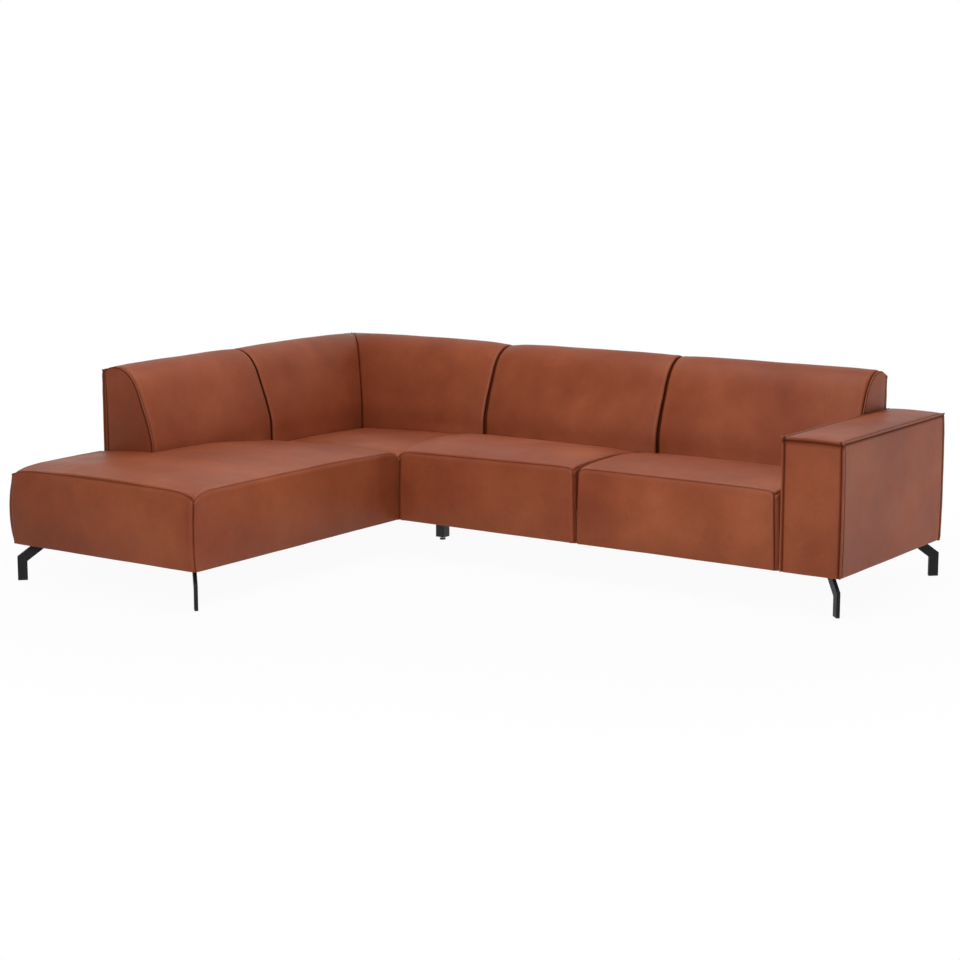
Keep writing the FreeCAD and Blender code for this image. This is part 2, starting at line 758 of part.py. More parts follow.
def make_webbing():
    thick = size.rail_thickness
    lap = size.strap_lap
    left = inside + lap
    right = size.wing_width - inside - lap
    over_foot = size.back_depth - 2 * size.soft_gap - thick + lap
    deep = size.overall_depth - size.back_depth + 2 * size.soft_gap
    straps = straps_between((left, right), inside + thick, size.open_end_length - thick, True)
    straps += straps_between((over_foot, right), size.open_end_length, front_of_long_side - thick / 2, True)
    straps += straps_between((over_foot, right), front_of_long_side + thick / 2, deep, True)
    front = front_of_long_side + inside + lap
    behind = deep + thick - lap
    first = size.wing_width + size.seam_gap + inside + thick
    straps += straps_between((front, behind), first, seat_split - thick / 2, False)
    straps += straps_between((front, behind), seat_split + thick / 2, arm_face - size.arm_gap, False)
    shaped("seat_webbing", Part.makeCompound(straps))


def window_places(start, end):
    """Middles of the windows of a back board, evenly spaced along it."""
    count = max(1, int((end - start) // (1.5 * size.window_width)))
    step = (end - start) / count
    return [start + step * (number + 0.5) for number in range(count)]


def make_back_frames():
    """Boards with windows, straps over the windows, and a rail on top of each board."""
    thick = size.board_thickness
    front_end = size.open_end_length + size.end_panel_thickness + size.soft_gap
    rear = size.overall_depth - inside
    right_end = arm_face - size.end_panel_thickness - size.soft_gap
    module_end = size.wing_width - inside
    runs = (
        ("left", left_side, front_end, rear, front_end, rear),
        ("corner", rear_side, inside + thick, module_end, inside + size.top_rail_depth, module_end),
        ("long", rear_side, size.wing_width + size.seam_gap + inside, right_end, None, right_end),
    )
    levels = (size.deck_height, board_top)
    sill = size.deck_height + size.window_sill
    straps = []
    for name, side, start, end, rail_start, rail_end in runs:
        board = slab(side, (start, end), (inside, inside + thick), levels)
        windows = []
        for middle in window_places(start, end):
            half = size.window_width / 2
            opening = (sill, sill + size.window_height)
            windows.append(slab(side, (middle - half, middle + half), (0, 2 * inside + thick), opening))
            strap_half = size.strap_width / 2
            strap_low = sill - (size.back_strap_length - size.window_height) / 2
            straps.append(
                slab(
                    side,
                    (middle - strap_half, middle + strap_half),
                    (inside + thick, inside + thick + size.strap_thickness),
                    (strap_low, strap_low + size.back_strap_length),
                )
            )
        shaped(f"{name}_back_board", board.cut(windows))
        first = start if rail_start is None else rail_start
        top = (board_top, board_top + size.top_rail_height)
        depth = (inside, inside + size.top_rail_depth)
        shaped(f"{name}_back_top_rail", slab(side, (first, rail_end), depth, top))
    shaped("back_webbing", Part.makeCompound(straps))


def slab(side, along, inwards, up):
    """A rectangular piece against one side of the sofa."""
    one = side(along[0], inwards[0], up[0])
    other = side(along[1], inwards[1], up[1])
    spans = [sorted(pair) for pair in zip(one, other)]
    return box(*spans)


# Where the corners of a sketch lie until its sizes place them
ROUGH_CENTRE = 100
ROUGH_RADIUS = 50


def sketch_on(body, role, name, corners):
    """A closed polygon on one of the body's planes, each corner bound to the sheet."""
    plane = next(item for item in body.Origin.OriginFeatures if item.Role == role)
    sketch = body.newObject("Sketcher::SketchObject", name)
    sketch.AttachmentSupport = [(plane, "")]
    sketch.MapMode = "FlatFace"
    count = len(corners)
    rough = []
    for number in range(count):
        turn = -2 * math.pi * number / count
        away = FreeCAD.Vector(math.cos(turn), math.sin(turn), 0) * ROUGH_RADIUS
        rough.append(FreeCAD.Vector(ROUGH_CENTRE, ROUGH_CENTRE, 0) + away)
    for number in range(count):
        sketch.addGeometry(Part.LineSegment(rough[number], rough[(number + 1) % count]), False)
    for number in range(count):
        sketch.addConstraint(Sketcher.Constraint("Coincident", number, 2, (number + 1) % count, 1))
    for number, (right, up) in enumerate(corners):
        for kind, words, value in (
            ("DistanceX", right, rough[number].x),
            ("DistanceY", up, rough[number].y),
        ):
            index = sketch.addConstraint(Sketcher.Constraint(kind, -1, 1, number, 1, value))
            sketch.setExpression(f"Constraints[{index}]", ref(words))
    return sketch


def turned(body, name, corners):
    """A full revolution about the body's own upright axis."""
    profile = sketch_on(body, "XZ_Plane", f"{name}_profile", corners)
    axis = next(item for item in body.Origin.OriginFeatures if item.Role == "Z_Axis")
    feature = body.newObject("PartDesign::Revolution", name)
    feature.Profile = profile
    feature.ReferenceAxis = (axis, [""])
    feature.Angle = 360
    return feature


def padded_out(body, name, profile, length, middle=True):
    feature = body.newObject("PartDesign::Pad", name)
    feature.Profile = profile
    feature.Midplane = middle
    feature.setExpression("Length", ref(length))
    return feature


def circles_on(body, name, middles, radius):
    """Equal circles on the body's floor plane, bound to the sheet."""
    plane = next(item for item in body.Origin.OriginFeatures if item.Role == "XY_Plane")
    sketch = body.newObject("Sketcher::SketchObject", name)
    sketch.AttachmentSupport = [(plane, "")]
    sketch.MapMode = "FlatFace"
    for number, (right, up) in enumerate(middles):
        rough = FreeCAD.Vector(ROUGH_CENTRE, ROUGH_RADIUS - ROUGH_CENTRE * number, 0)
        sketch.addGeometry(Part.Circle(rough, FreeCAD.Vector(0, 0, 1), ROUGH_RADIUS / 10), False)
        for kind, words, value in (("DistanceX", right, rough.x), ("DistanceY", up, rough.y)):
            index = sketch.addConstraint(Sketcher.Constraint(kind, -1, 1, number, 3, value))
            sketch.setExpression(f"Constraints[{index}]", ref(words))
        index = sketch.addConstraint(Sketcher.Constraint("Radius", number, 5))
        sketch.setExpression(f"Constraints[{index}]", ref(radius))
    return sketch


# Legs: the bar above the knee leans inwards, and meets the plate between these two places
LEAN = "sqrt(leg_slope_run * leg_slope_run + leg_slope_rise * leg_slope_rise)"
PLATE_LOW = "(underside_height + rail_lift - leg_plate_thickness)"
OUTER_RUN = f"(({PLATE_LOW} - leg_knee_height) * leg_slope_run / leg_slope_rise)"
INNER_KNEE = f"(leg_knee_height - leg_bar_width * ({LEAN} - leg_slope_rise) / leg_slope_run)"
INNER_RUN = f"(leg_bar_width + ({PLATE_LOW} - {INNER_KNEE}) * leg_slope_run / leg_slope_rise)"
PLATE_MIDDLE = f"(({OUTER_RUN} + {INNER_RUN}) / 2)"

# Each leg stands in the diagonal plane of its corner: the corner, and the heading inwards
LEGS = (
    ("wing_left_leg", ("0", "0"), (0.0, 0.0), 45),
    ("wing_right_leg", ("wing_width", "0"), (size.wing_width, 0.0), 135),
    (
        "arm_front_leg",
        ("overall_length", FRONT_OF_LONG_SIDE),
        (size.overall_length, front_of_long_side),
        135,
    ),
    (
        "arm_rear_leg",
        ("overall_length", "overall_depth"),
        (size.overall_length, size.overall_depth),
        225,
    ),
)


def plate_middle():
    """Middle of a leg's plate, from the foot of the bar along the diagonal."""
    slope = size.leg_slope_run / size.leg_slope_rise
    lean = math.hypot(size.leg_slope_run, size.leg_slope_rise)
    plate_low = rail_bottom - size.leg_plate_thickness
    knee_drop = size.leg_bar_width * (lean - size.leg_slope_rise) / size.leg_slope_run
    outer = (plate_low - size.leg_knee_height) * slope
    inner = size.leg_bar_width + (plate_low - size.leg_knee_height + knee_drop) * slope
    return (outer + inner) / 2


def make_leg(label, corner, heading):
    """A flat bar in the diagonal plane of its corner, bent at the knee and welded to its plate."""
    body = doc.addObject("PartDesign::Body", label)
    profile = sketch_on(
        body,
        "XZ_Plane",
        f"{label}_profile",
        (
            ("0", "leg_cap_height"),
            ("leg_bar_width", "leg_cap_height"),
            ("leg_bar_width", INNER_KNEE),
            (INNER_RUN, PLATE_LOW),
            (OUTER_RUN, PLATE_LOW),
            ("0", "leg_knee_height"),
        ),
    )
    bar = padded_out(body, f"{label}_bar", profile, "leg_bar_thickness")
    doc.recompute()
    plate_low = rail_bottom - size.leg_plate_thickness
    knees = []
    for number, edge in enumerate(bar.Shape.Edges, start=1):
        ends = [vertex.Point for vertex in edge.Vertexes]
        across = abs(ends[0].y - ends[-1].y) > size.leg_bar_thickness / 2
        if across and size.leg_cap_height + past_face < ends[0].z < plate_low - past_face:
            knees.append(f"Edge{number}")
    bend = body.newObject("PartDesign::Fillet", f"{label}_bend")
    bend.Base = (bar, knees)
    bend.setExpression("Radius", ref("leg_bend_radius"))
    half_plate = f"(({INNER_RUN} - {OUTER_RUN}) / 2 + leg_plate_rim)"
    plate_profile = sketch_on(
        body,
        "XZ_Plane",
        f"{label}_plate_profile",
        (
            (f"{PLATE_MIDDLE} - {half_plate}", PLATE_LOW),
            (f"{PLATE_MIDDLE} + {half_plate}", PLATE_LOW),
            (f"{PLATE_MIDDLE} + {half_plate}", f"{PLATE_LOW} + leg_plate_thickness"),
            (f"{PLATE_MIDDLE} - {half_plate}", f"{PLATE_LOW} + leg_plate_thickness"),
        ),
    )
    padded_out(body, f"{label}_plate", plate_profile, "leg_plate_width")
    holes = circles_on(
        body,
        f"{label}_bolt_circles",
        ((PLATE_MIDDLE, "bolt_spread / 2"), (PLATE_MIDDLE, "-bolt_spread / 2")),
        "bolt_radius + bolt_play",
    )
    drilled = body.newObject("PartDesign::Pocket", f"{label}_bolt_holes")
    drilled.Profile = holes
    drilled.Type = 1
    drilled.Midplane = True
    body.Placement.Rotation = FreeCAD.Rotation(FreeCAD.Vector(0, 0, 1), heading)
    step_x = "+" if math.cos(math.radians(heading)) > 0 else "-"
    step_y = "+" if math.sin(math.radians(heading)) > 0 else "-"
    inset = "leg_inset / sqrt(2)"
    place(body, f"{corner[0]} {step_x} {inset}", f"{corner[1]} {step_y} {inset}", "0")
    publish(body, label)


def leg_spot(corner, heading, inwards, across, up):
    """A place on a leg in plan coordinates: inwards along its diagonal, across it, and up."""
    turn = math.radians(heading)
    along = inwards + size.leg_inset
    return FreeCAD.Vector(
        corner[0] + along * math.cos(turn) - across * math.sin(turn),
        corner[1] + along * math.sin(turn) + across * math.cos(turn),
        up,
    )


def hexagon(radius, middle):
    """A level hexagon about a place, its corners at the radius."""
    corners = []
    for number in range(7):
        turn = math.radians(60 * number)
        corners.append(middle + FreeCAD.Vector(radius * math.cos(turn), radius * math.sin(turn), 0))
    return Part.makePolygon(corners)


def make_leg_fittings():
    """Floor caps, bolts, and the timber blocks inside the frame that take the bolts."""
    caps = []
    bolts = []
    blocks = []
    up = FreeCAD.Vector(0, 0, 1)
    plate_low = rail_bottom - size.leg_plate_thickness
    offset = inside + size.rail_thickness
    front_offset = size.border_thickness + 2 * size.soft_gap + size.board_thickness
    arm_offset = inside + size.board_thickness
    insets = {
        "wing_left_leg": (offset, offset),
        "wing_right_leg": (offset, offset),
        "arm_front_leg": (arm_offset, front_offset),
        "arm_rear_leg": (arm_offset, front_offset),
    }
    for label, _, corner, heading in LEGS:
        turn = FreeCAD.Rotation(up, heading)
        cap = Part.makeBox(
            size.leg_bar_width,
            size.leg_bar_thickness,
            size.leg_cap_height,
            FreeCAD.Vector(0, -size.leg_bar_thickness / 2, 0),
        )
        sole = [edge for edge in cap.Edges if edge.BoundBox.ZMax < size.leg_cap_height / 2]
        cap = cap.makeChamfer(size.leg_cap_height / 3, sole)
        cap.Placement = FreeCAD.Placement(leg_spot(corner, heading, 0, 0, 0), turn)
        caps.append(cap)
        inward_x = 1 if math.cos(math.radians(heading)) > 0 else -1
        inward_y = 1 if math.sin(math.radians(heading)) > 0 else -1
        near_x = corner[0] + inward_x * insets[label][0]
        near_y = corner[1] + inward_y * insets[label][1]
        timber = box(
            sorted((near_x, near_x + inward_x * size.leg_block_size)),
            sorted((near_y, near_y + inward_y * size.leg_block_size)),
            (rail_bottom, rail_bottom + size.leg_block_height),
        )
        for across in (-size.bolt_spread / 2, size.bolt_spread / 2):
            foot = leg_spot(corner, heading, plate_middle(), across, plate_low)
            low = foot - FreeCAD.Vector(0, 0, size.bolt_head_height)
            head = Part.Face(hexagon(size.bolt_head_radius, low)).extrude(foot - low)
            shank = Part.makeCylinder(size.bolt_radius, size.bolt_length, foot)
            bolts.append(head.fuse(shank).removeSplitter())
            hole = size.bolt_radius + size.bolt_play
            depth = size.bolt_length - size.leg_plate_thickness + past_face
            mouth = FreeCAD.Vector(foot.x, foot.y, rail_bottom)
            timber = timber.cut(Part.makeCylinder(hole, depth, mouth))
        blocks.append(timber)
    shaped("leg_floor_caps", Part.makeCompound(caps))
    shaped("leg_bolts", Part.makeCompound(bolts))
    shaped("leg_corner_blocks", Part.makeCompound(blocks))


# Support feet: name, and their place in words and in millimetres
SUPPORT_REAR = "(overall_depth - support_from_rear)"
INNER_RAIL_LINE = "(wing_width - cover_thickness - soft_gap - rail_thickness / 2)"
LEFT_RAIL_LINE = "(cover_thickness + soft_gap + rail_thickness / 2)"
SUPPORTS = (
    ("inner", INNER_RAIL_LINE, f"({FRONT_OF_LONG_SIDE} + support_from_front)"),
    ("corner", LEFT_RAIL_LINE, SUPPORT_REAR),
    ("rear", INNER_RAIL_LINE, SUPPORT_REAR),
)


def support_block(name, x, y):
    """A square plastic block under a base rail, with the bore for the stem of its glide."""
    body = doc.addObject("PartDesign::Body", f"{name}_support_block")
    shoulder = "underside_height - soft_gap"
    rail_low = "underside_height + rail_lift"
    profile = sketch_on(
        body,
        "XZ_Plane",
        f"{name}_block_profile",
        (
            ("-block_size / 2", "block_bottom_height"),
            ("block_size / 2", "block_bottom_height"),
            ("block_size / 2", shoulder),
            ("rail_thickness / 2", shoulder),
            ("rail_thickness / 2", rail_low),
            ("-rail_thickness / 2", rail_low),
            ("-rail_thickness / 2", shoulder),
            ("-block_size / 2", shoulder),
        ),
    )
    post = padded_out(body, f"{name}_block_post", profile, "block_size")
    doc.recompute()
    corners = []
    for number, edge in enumerate(post.Shape.Edges, start=1):
        box_of = edge.BoundBox
        outer = abs(box_of.XMax) > size.block_size / 2 - size.soft_gap
        if outer and box_of.ZLength > size.block_size:
            corners.append(f"Edge{number}")
    eased = body.newObject("PartDesign::Chamfer", f"{name}_block_edges")
    eased.Base = (post, corners)
    eased.setExpression("Size", ref("block_chamfer"))
    mouth = f"block_bottom_height - {past_face}"
    bore_top = f"glide_height - socket_depth + stem_length + glide_travel_up + {past_face}"
    bore = sketch_on(
        body,
        "XZ_Plane",
        f"{name}_block_bore_profile",
        (
            ("0", mouth),
            ("stem_radius + stem_play", mouth),
            ("stem_radius + stem_play", bore_top),
            ("0", bore_top),
        ),
    )
    axis = next(item for item in body.Origin.OriginFeatures if item.Role == "Z_Axis")
    drilled = body.newObject("PartDesign::Groove", f"{name}_block_bore")
    drilled.Profile = bore
    drilled.ReferenceAxis = (axis, [""])
    drilled.Angle = 360
    place(body, x, y, "0")
    return body


def make_glide(name, x, y):
    """A levelling glide: the threaded stem with its hexagon, and the pad that turns on its foot."""
    stem = doc.addObject("PartDesign::Body", f"{name}_glide_stem")
    foot = "glide_height - socket_depth + soft_gap"
    turned(
        stem,
        f"{name}_stem_shank",
        (
            ("0", foot),
            ("stem_radius", foot),
            ("stem_radius", f"{foot} + stem_length"),
            ("0", f"{foot} + stem_length"),
        ),
    )
    reach = "stem_hex_width / sqrt(3)"
    corners = []
    for number in range(6):
        turn = math.radians(60 * number)
        corners.append((f"{reach} * {math.cos(turn):.6f}", f"{reach} * {math.sin(turn):.6f}"))
    nut = sketch_on(stem, "XY_Plane", f"{name}_stem_hexagon", corners)
    nut.setExpression("AttachmentOffset.Base.z", ref("glide_height + soft_gap"))
    padded_out(stem, f"{name}_stem_nut", nut, "stem_hex_height", False)
    place(stem, x, y, "0")
    publish(stem, f"{name}_glide_stem")

    pad = doc.addObject("PartDesign::Body", f"{name}_glide_pad")
    sole_round = "glide_height / 4"
    turned(
        pad,
        f"{name}_pad_disc",
        (
            ("0", "0"),
            (f"glide_radius - {sole_round}", "0"),
            ("glide_radius", sole_round),
            ("glide_radius", "glide_height"),
            ("stem_radius + stem_play", "glide_height"),
            ("stem_radius + stem_play", "glide_height - socket_depth"),
            ("0", "glide_height - socket_depth"),
        ),
    )
    place(pad, x, y, "0")
    publish(pad, f"{name}_glide_pad")


def make_support_feet():
    group("support_blocks", [support_block(name, x, y) for name, x, y in SUPPORTS])
    for name, x, y in SUPPORTS:
        make_glide(name, x, y)


def make_connectors():
    """Hooks under the long module's side rail that slide into sockets under the other module's."""
    thick = size.connector_thickness
    half = size.connector_width / 2
    rail_x = size.wing_width - inside
    long_rail_x = size.wing_width + size.seam_gap + inside
    hook_top = size.underside_height - size.connector_drop + thick
    gap = size.soft_gap
    hooks = []
    sockets = []
    for y in (
        front_of_long_side + size.connector_from_front,
        size.overall_depth - size.connector_from_rear,
    ):
        across = (y - half, y + half)
        plate_x = (long_rail_x, long_rail_x + size.connector_reach)
        plate = box(plate_x, across, (rail_bottom - thick, rail_bottom))
        drop = box((long_rail_x, long_rail_x + thick), across, (hook_top - thick, rail_bottom))
        tongue_x = (rail_x - size.connector_reach / 2, long_rail_x + thick)
        tongue = box(tongue_x, (y - half / 2, y + half / 2), (hook_top - thick, hook_top))
        hooks.append(plate.fuse([drop, tongue]).removeSplitter())
        case = box(
            (rail_x - size.connector_reach, rail_x),
            across,
            (hook_top - 2 * thick - gap, rail_bottom),
        )
        slot = box(
            (rail_x - size.connector_reach - past_face, rail_x + past_face),
            (y - half / 2 - gap, y + half / 2 + gap),
            (hook_top - thick - gap, hook_top + gap),
        )
        sockets.append(case.cut(slot))
    shaped("connector_hooks", Part.makeCompound(hooks))
    shaped("connector_sockets", Part.makeCompound(sockets))


def make_dust_covers():
    """Cloth under each module, stapled to the rails and notched round the feet."""
    levels = (rail_bottom - size.dust_cover_thickness, rail_bottom)
    room = size.soft_gap
    rear = size.overall_depth - inside
    corner_sheet = box((inside, size.wing_width - inside), (inside, rear), levels)
    long_left = size.wing_width + size.seam_gap + inside
    front = front_of_long_side + inside
    long_sheet = box((long_left, arm_face - room), (front, rear), levels)
    arm_sheet = box((arm_face - room, size.overall_length - inside), (front, rear), levels)
    long_sheet = long_sheet.fuse(arm_sheet).removeSplitter()
    notches = []
    for _, _, corner, heading in LEGS:
        reach = plate_middle() + size.leg_plate_width
        middle = leg_spot(corner, heading, 0, 0, 0)
        notches.append(around(middle.x, middle.y, reach, levels))
    half = size.block_size / 2 + room
    rail_line = size.wing_width - inside - size.rail_thickness / 2
    left_line = inside + size.rail_thickness / 2
    hidden = size.overall_depth - size.support_from_rear
    for x, y in (
        (rail_line, front_of_long_side + size.support_from_front),
        (left_line, hidden),
        (rail_line, hidden),
    ):
        notches.append(around(x, y, half, levels))
    for y in (
        front_of_long_side + size.connector_from_front,
        size.overall_depth - size.connector_from_rear,
    ):
        for x in (size.wing_width - inside, long_left):
            notches.append(around(x, y, size.connector_reach + room, levels))
    shaped("dust_covers", Part.makeCompound([corner_sheet.cut(notches), long_sheet.cut(notches)]))


def around(x, y, half, levels):
    """A square room about an upright axis."""
    up = (levels[0] - past_face, levels[1] + past_face)
    return box((x - half, x + half), (y - half, y + half), up)


make_wing_seat()
make_corner_seat()
make_long_seats()
make_foam()
make_backs()
make_end_panels()
make_outer_panels()
make_arm()
make_base_frames()
make_arm_boards()
make_webbing()
make_back_frames()
for label, corner_words, _, heading in LEGS:
    make_leg(label, corner_words, heading)
make_leg_fittings()
make_support_feet()
make_connectors()
make_dust_covers()
doc.recompute()

for item in doc.Objects:
    if "Invalid" in item.State or "Error" in item.State:
        raise RuntimeError(f"{item.Name} failed: {item.State}")
for item in nodes:
    shape = item.Shape
    if shape.isNull() or not shape.isValid():
        raise RuntimeError(f"{item.Label} has no valid shape")
    shape.exportStep(f"parts/{item.Label}.step")
    print(item.Label, round(shape.Volume / 1e3), "cm3", len(shape.Solids), "solids")
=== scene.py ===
import json
import math

import bmesh
import bpy
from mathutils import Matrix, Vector, noise


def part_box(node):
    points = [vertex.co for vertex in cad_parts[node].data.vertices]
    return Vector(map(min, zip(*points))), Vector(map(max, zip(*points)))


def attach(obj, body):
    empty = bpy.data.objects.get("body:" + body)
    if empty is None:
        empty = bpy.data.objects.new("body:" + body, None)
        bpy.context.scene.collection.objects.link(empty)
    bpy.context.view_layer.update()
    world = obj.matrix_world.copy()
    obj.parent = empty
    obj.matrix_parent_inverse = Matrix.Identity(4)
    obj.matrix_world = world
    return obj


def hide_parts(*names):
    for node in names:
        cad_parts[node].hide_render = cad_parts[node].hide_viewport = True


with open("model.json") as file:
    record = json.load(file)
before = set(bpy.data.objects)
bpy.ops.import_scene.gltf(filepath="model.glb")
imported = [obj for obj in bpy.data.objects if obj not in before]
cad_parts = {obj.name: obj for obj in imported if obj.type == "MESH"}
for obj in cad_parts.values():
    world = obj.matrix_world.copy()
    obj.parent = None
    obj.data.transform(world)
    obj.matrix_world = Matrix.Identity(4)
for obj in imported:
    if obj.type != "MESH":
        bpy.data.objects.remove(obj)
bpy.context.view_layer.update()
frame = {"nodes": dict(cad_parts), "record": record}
nodes = frame["nodes"]

# All sizes are in metres. Places are in plan coordinates: X runs right from the wing's outer side,
# Y runs back from its open end, and Z runs up from the floor. The rails start this far inside
INSIDE = 0.0183
rail_low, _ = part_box("wing_front_rail")
PLAN_ORIGIN = Vector((rail_low.x - INSIDE, rail_low.y - INSIDE, 0.0))

# The plan: overall sizes, the wing, the front of the long side, the line between its two seats,
# the arm's inner face, the open end of the seat, and the depth of the backs
LENGTH = 2.932
DEPTH = 2.137
WING = 0.935
FRONT = 1.243
SPLIT = 1.796
ARM = 2.690
OPEN_END = 0.504
BACK = 0.300
BACK_LINE = DEPTH - BACK

# Heights above the floor, from the hem up to the rear seam of the backs
HEM = 0.144
DUST_LEVEL = 0.1478
DECK = 0.2725
FOAM_TOP = 0.385
SEAT_REAR = 0.416
CORNER_SEAM = 0.433
SEAM = 0.449
CROWN = 0.474
ARM_TOP = 0.648
BACK_TOP = 0.781

# How the seats and the arm swell, and how far the sewn sides draw them in
CROWN_DEPTH = 0.270
SEAT_DRAW_IN = 0.009
SEAT_SLOPE = 0.014
ARM_CROWN = 0.010
DRAW_IN = 0.0674
SIDE_BULGE = 0.020
FRONT_BULGE = 0.018
INNER_BULGE = 0.014
ARM_BULGE = 0.008
REAR_BULGE = 0.008

# Room between neighbours, and the thickness of a sewn-in end panel
SEAM_GAP = 0.0015
ARM_GAP = 0.004
SOFT_GAP = 0.0003
RIM = 0.004

# A block's edges are divided more closely near its corners, by this share
CLOSER = 0.85

# How far from a seam its relief, its painted shade and its puckers reach, and how deep a pucker goes
SEAM_REACH = 0.05
PAINTED_SHADE_REACH = 0.022
PUCKER_REACH = 0.018
PUCKER = 0.0014

# A soft seam keeps this share of its relief, and gets this much painted shade over this width
SOFT_RELIEF = 0.15
SOFT_SHADE = 0.32
SOFT_WIDTH = 0.009

SIDES = ("left", "right", "front", "rear", "under", "top")
UNIT_SPANS = ((0.0, 1.0),) * 3


def srgb(red, green, blue):
    """A colour as a picture states it, for a shader."""
    parts = []
    for part in (red, green, blue):
        part /= 255
        parts.append(part / 12.92 if part <= 0.04045 else ((part + 0.055) / 1.055) ** 2.4)
    return (*parts, 1.0)


# Forms

def full(distance):
    """How full a soft piece is at a distance from its sewn end: not at all there, quite full far away."""
    return 1 - math.exp(-((max(distance, 0.0) / DRAW_IN) ** 1.22))


def arch(share):
    """A padded side between two seams: nothing at both, one half way."""
    return max(0.0, 1 - abs(2 * share - 1) ** 2.2)


def smooth_between(places, values, place):
    """A smooth run through values at places, level beyond both ends."""
    if place <= places[0]:
        return values[0]
    for number in range(len(places) - 1):
        low, high = places[number], places[number + 1]
        if place <= high:
            before = max(number - 1, 0)
            after = min(number + 2, len(places) - 1)
            width = high - low
            slope_low = (values[number + 1] - values[before]) / (high - places[before]) * width
            slope_high = (values[after] - values[number]) / (places[after] - low) * width
            t = (place - low) / width
            return (
                values[number] * (2 * t**3 - 3 * t**2 + 1)
                + slope_low * (t**3 - 2 * t**2 + t)
                + values[number + 1] * (3 * t**2 - 2 * t**3)
                + slope_high * (t**3 - t**2)
            )
    return values[-1]


class Profile:
    """A smooth line through points, read by its share of the whole length, with its outward side."""

    SAMPLES = 240

    def __init__(self, points):
        marks = [0.0]
        for one, other in zip(points, points[1:]):
            marks.append(marks[-1] + math.dist(one, other))
        total = marks[-1]
        self.samples = []
        for number in range(self.SAMPLES + 1):
            mark = total * number / self.SAMPLES
            self.samples.append(
                Vector([smooth_between(marks, [point[axis] for point in points], mark) for axis in (0, 1)])
            )

    def at(self, share):
        """The point that lies this share of the length along."""
        spot = min(max(share, 0.0), 1.0) * self.SAMPLES
        number = min(int(spot), self.SAMPLES - 1)
        return self.samples[number].lerp(self.samples[number + 1], spot - number)

    def outward(self, share):
        """The direction square to the line there, away from the piece."""
        step = 1.5 / self.SAMPLES
        run = self.at(share + step) - self.at(share - step)
        return Vector((run.y, -run.x)).normalized()


def dip(x, y, corners):
    """How far the seams pull the leather down at the corners where three of them meet."""
    fall = 0.0
    for corner_x, corner_y, depth, reach in corners:
        fall += depth * math.exp(-((math.hypot(x - corner_x, y - corner_y) / reach) ** 1.5))
    return fall


def block(spans, cuts, closer=(CLOSER, CLOSER, CLOSER), planes=()):
    """A closed block on three spans, divided along each, and cut once more on the given planes."""
    bm = bmesh.new()
    bmesh.ops.create_cube(bm, size=1.0)
    bmesh.ops.translate(bm, verts=bm.verts, vec=(0.5, 0.5, 0.5))
    for axis, count in enumerate(cuts):
        along = [edge for edge in bm.edges if abs(edge.verts[0].co[axis] - edge.verts[1].co[axis]) > 0.5]
        bmesh.ops.subdivide_edges(bm, edges=along, cuts=count, use_grid_fill=True)
    for vert in bm.verts:
        for axis, (low, high) in enumerate(spans):
            share = vert.co[axis]
            share -= closer[axis] * math.sin(2 * math.pi * share) / (2 * math.pi)
            vert.co[axis] = low + share * (high - low)
    for axis, place in planes:
        cut_across(bm, axis, place)
    return bm


def cut_across(bm, axis, place, snap=0.0):
    """Divides a mesh along a plane square to an axis; corners nearer to it than snap lie on it."""
    normal = Vector([1.0 if axis == number else 0.0 for number in range(3)])
    geometry = bm.verts[:] + bm.edges[:] + bm.faces[:]
    bmesh.ops.bisect_plane(bm, geom=geometry, dist=snap, plane_co=normal * place, plane_no=normal)


def bell(distance, middle, width):
    """One at the middle, falling to nothing on both sides of it."""
    return math.exp(-(((distance - middle) / width) ** 2))


def seam_relief(kind, distance):
    """How far the leather stands out at a distance from a seam of its kind."""
    if kind == "valley":
        rounding = -0.0040 * math.exp(-((distance / 0.011) ** 1.4))
        return rounding - 0.0030 * bell(distance, 0.0, 0.0034) + 0.0016 * bell(distance, 0.015, 0.009)
    if kind == "ridge":
        return 0.0034 * bell(distance, 0.0, 0.0032) - 0.0026 * bell(distance, 0.0085, 0.0040)
    return -0.0022 * bell(distance, 0.0, 0.008)


def seam_shade(kind, distance):
    """How dark a seam makes the leather: a valley's own dark line with painted shade in it, and painted
    shade in the groove beside a ridge; and how much it is lightened: by wear on ridges and folds, and by a
    painted highlight on the roll beside a valley.
    """
    # A valley: its dark line, partly painted shade, and a painted highlight on the roll beside it
    if kind == "valley":
        return bell(distance, 0.0, 0.0042), 0.25 * bell(distance, 0.014, 0.006)
    # A ridge: painted shade in the groove beside it, and wear on its crest
    if kind == "ridge":
        return bell(distance, 0.0085, 0.0036), 0.7 * bell(distance, 0.0, 0.0035)
    return 0.0, 0.4 * bell(distance, 0.0, 0.006)


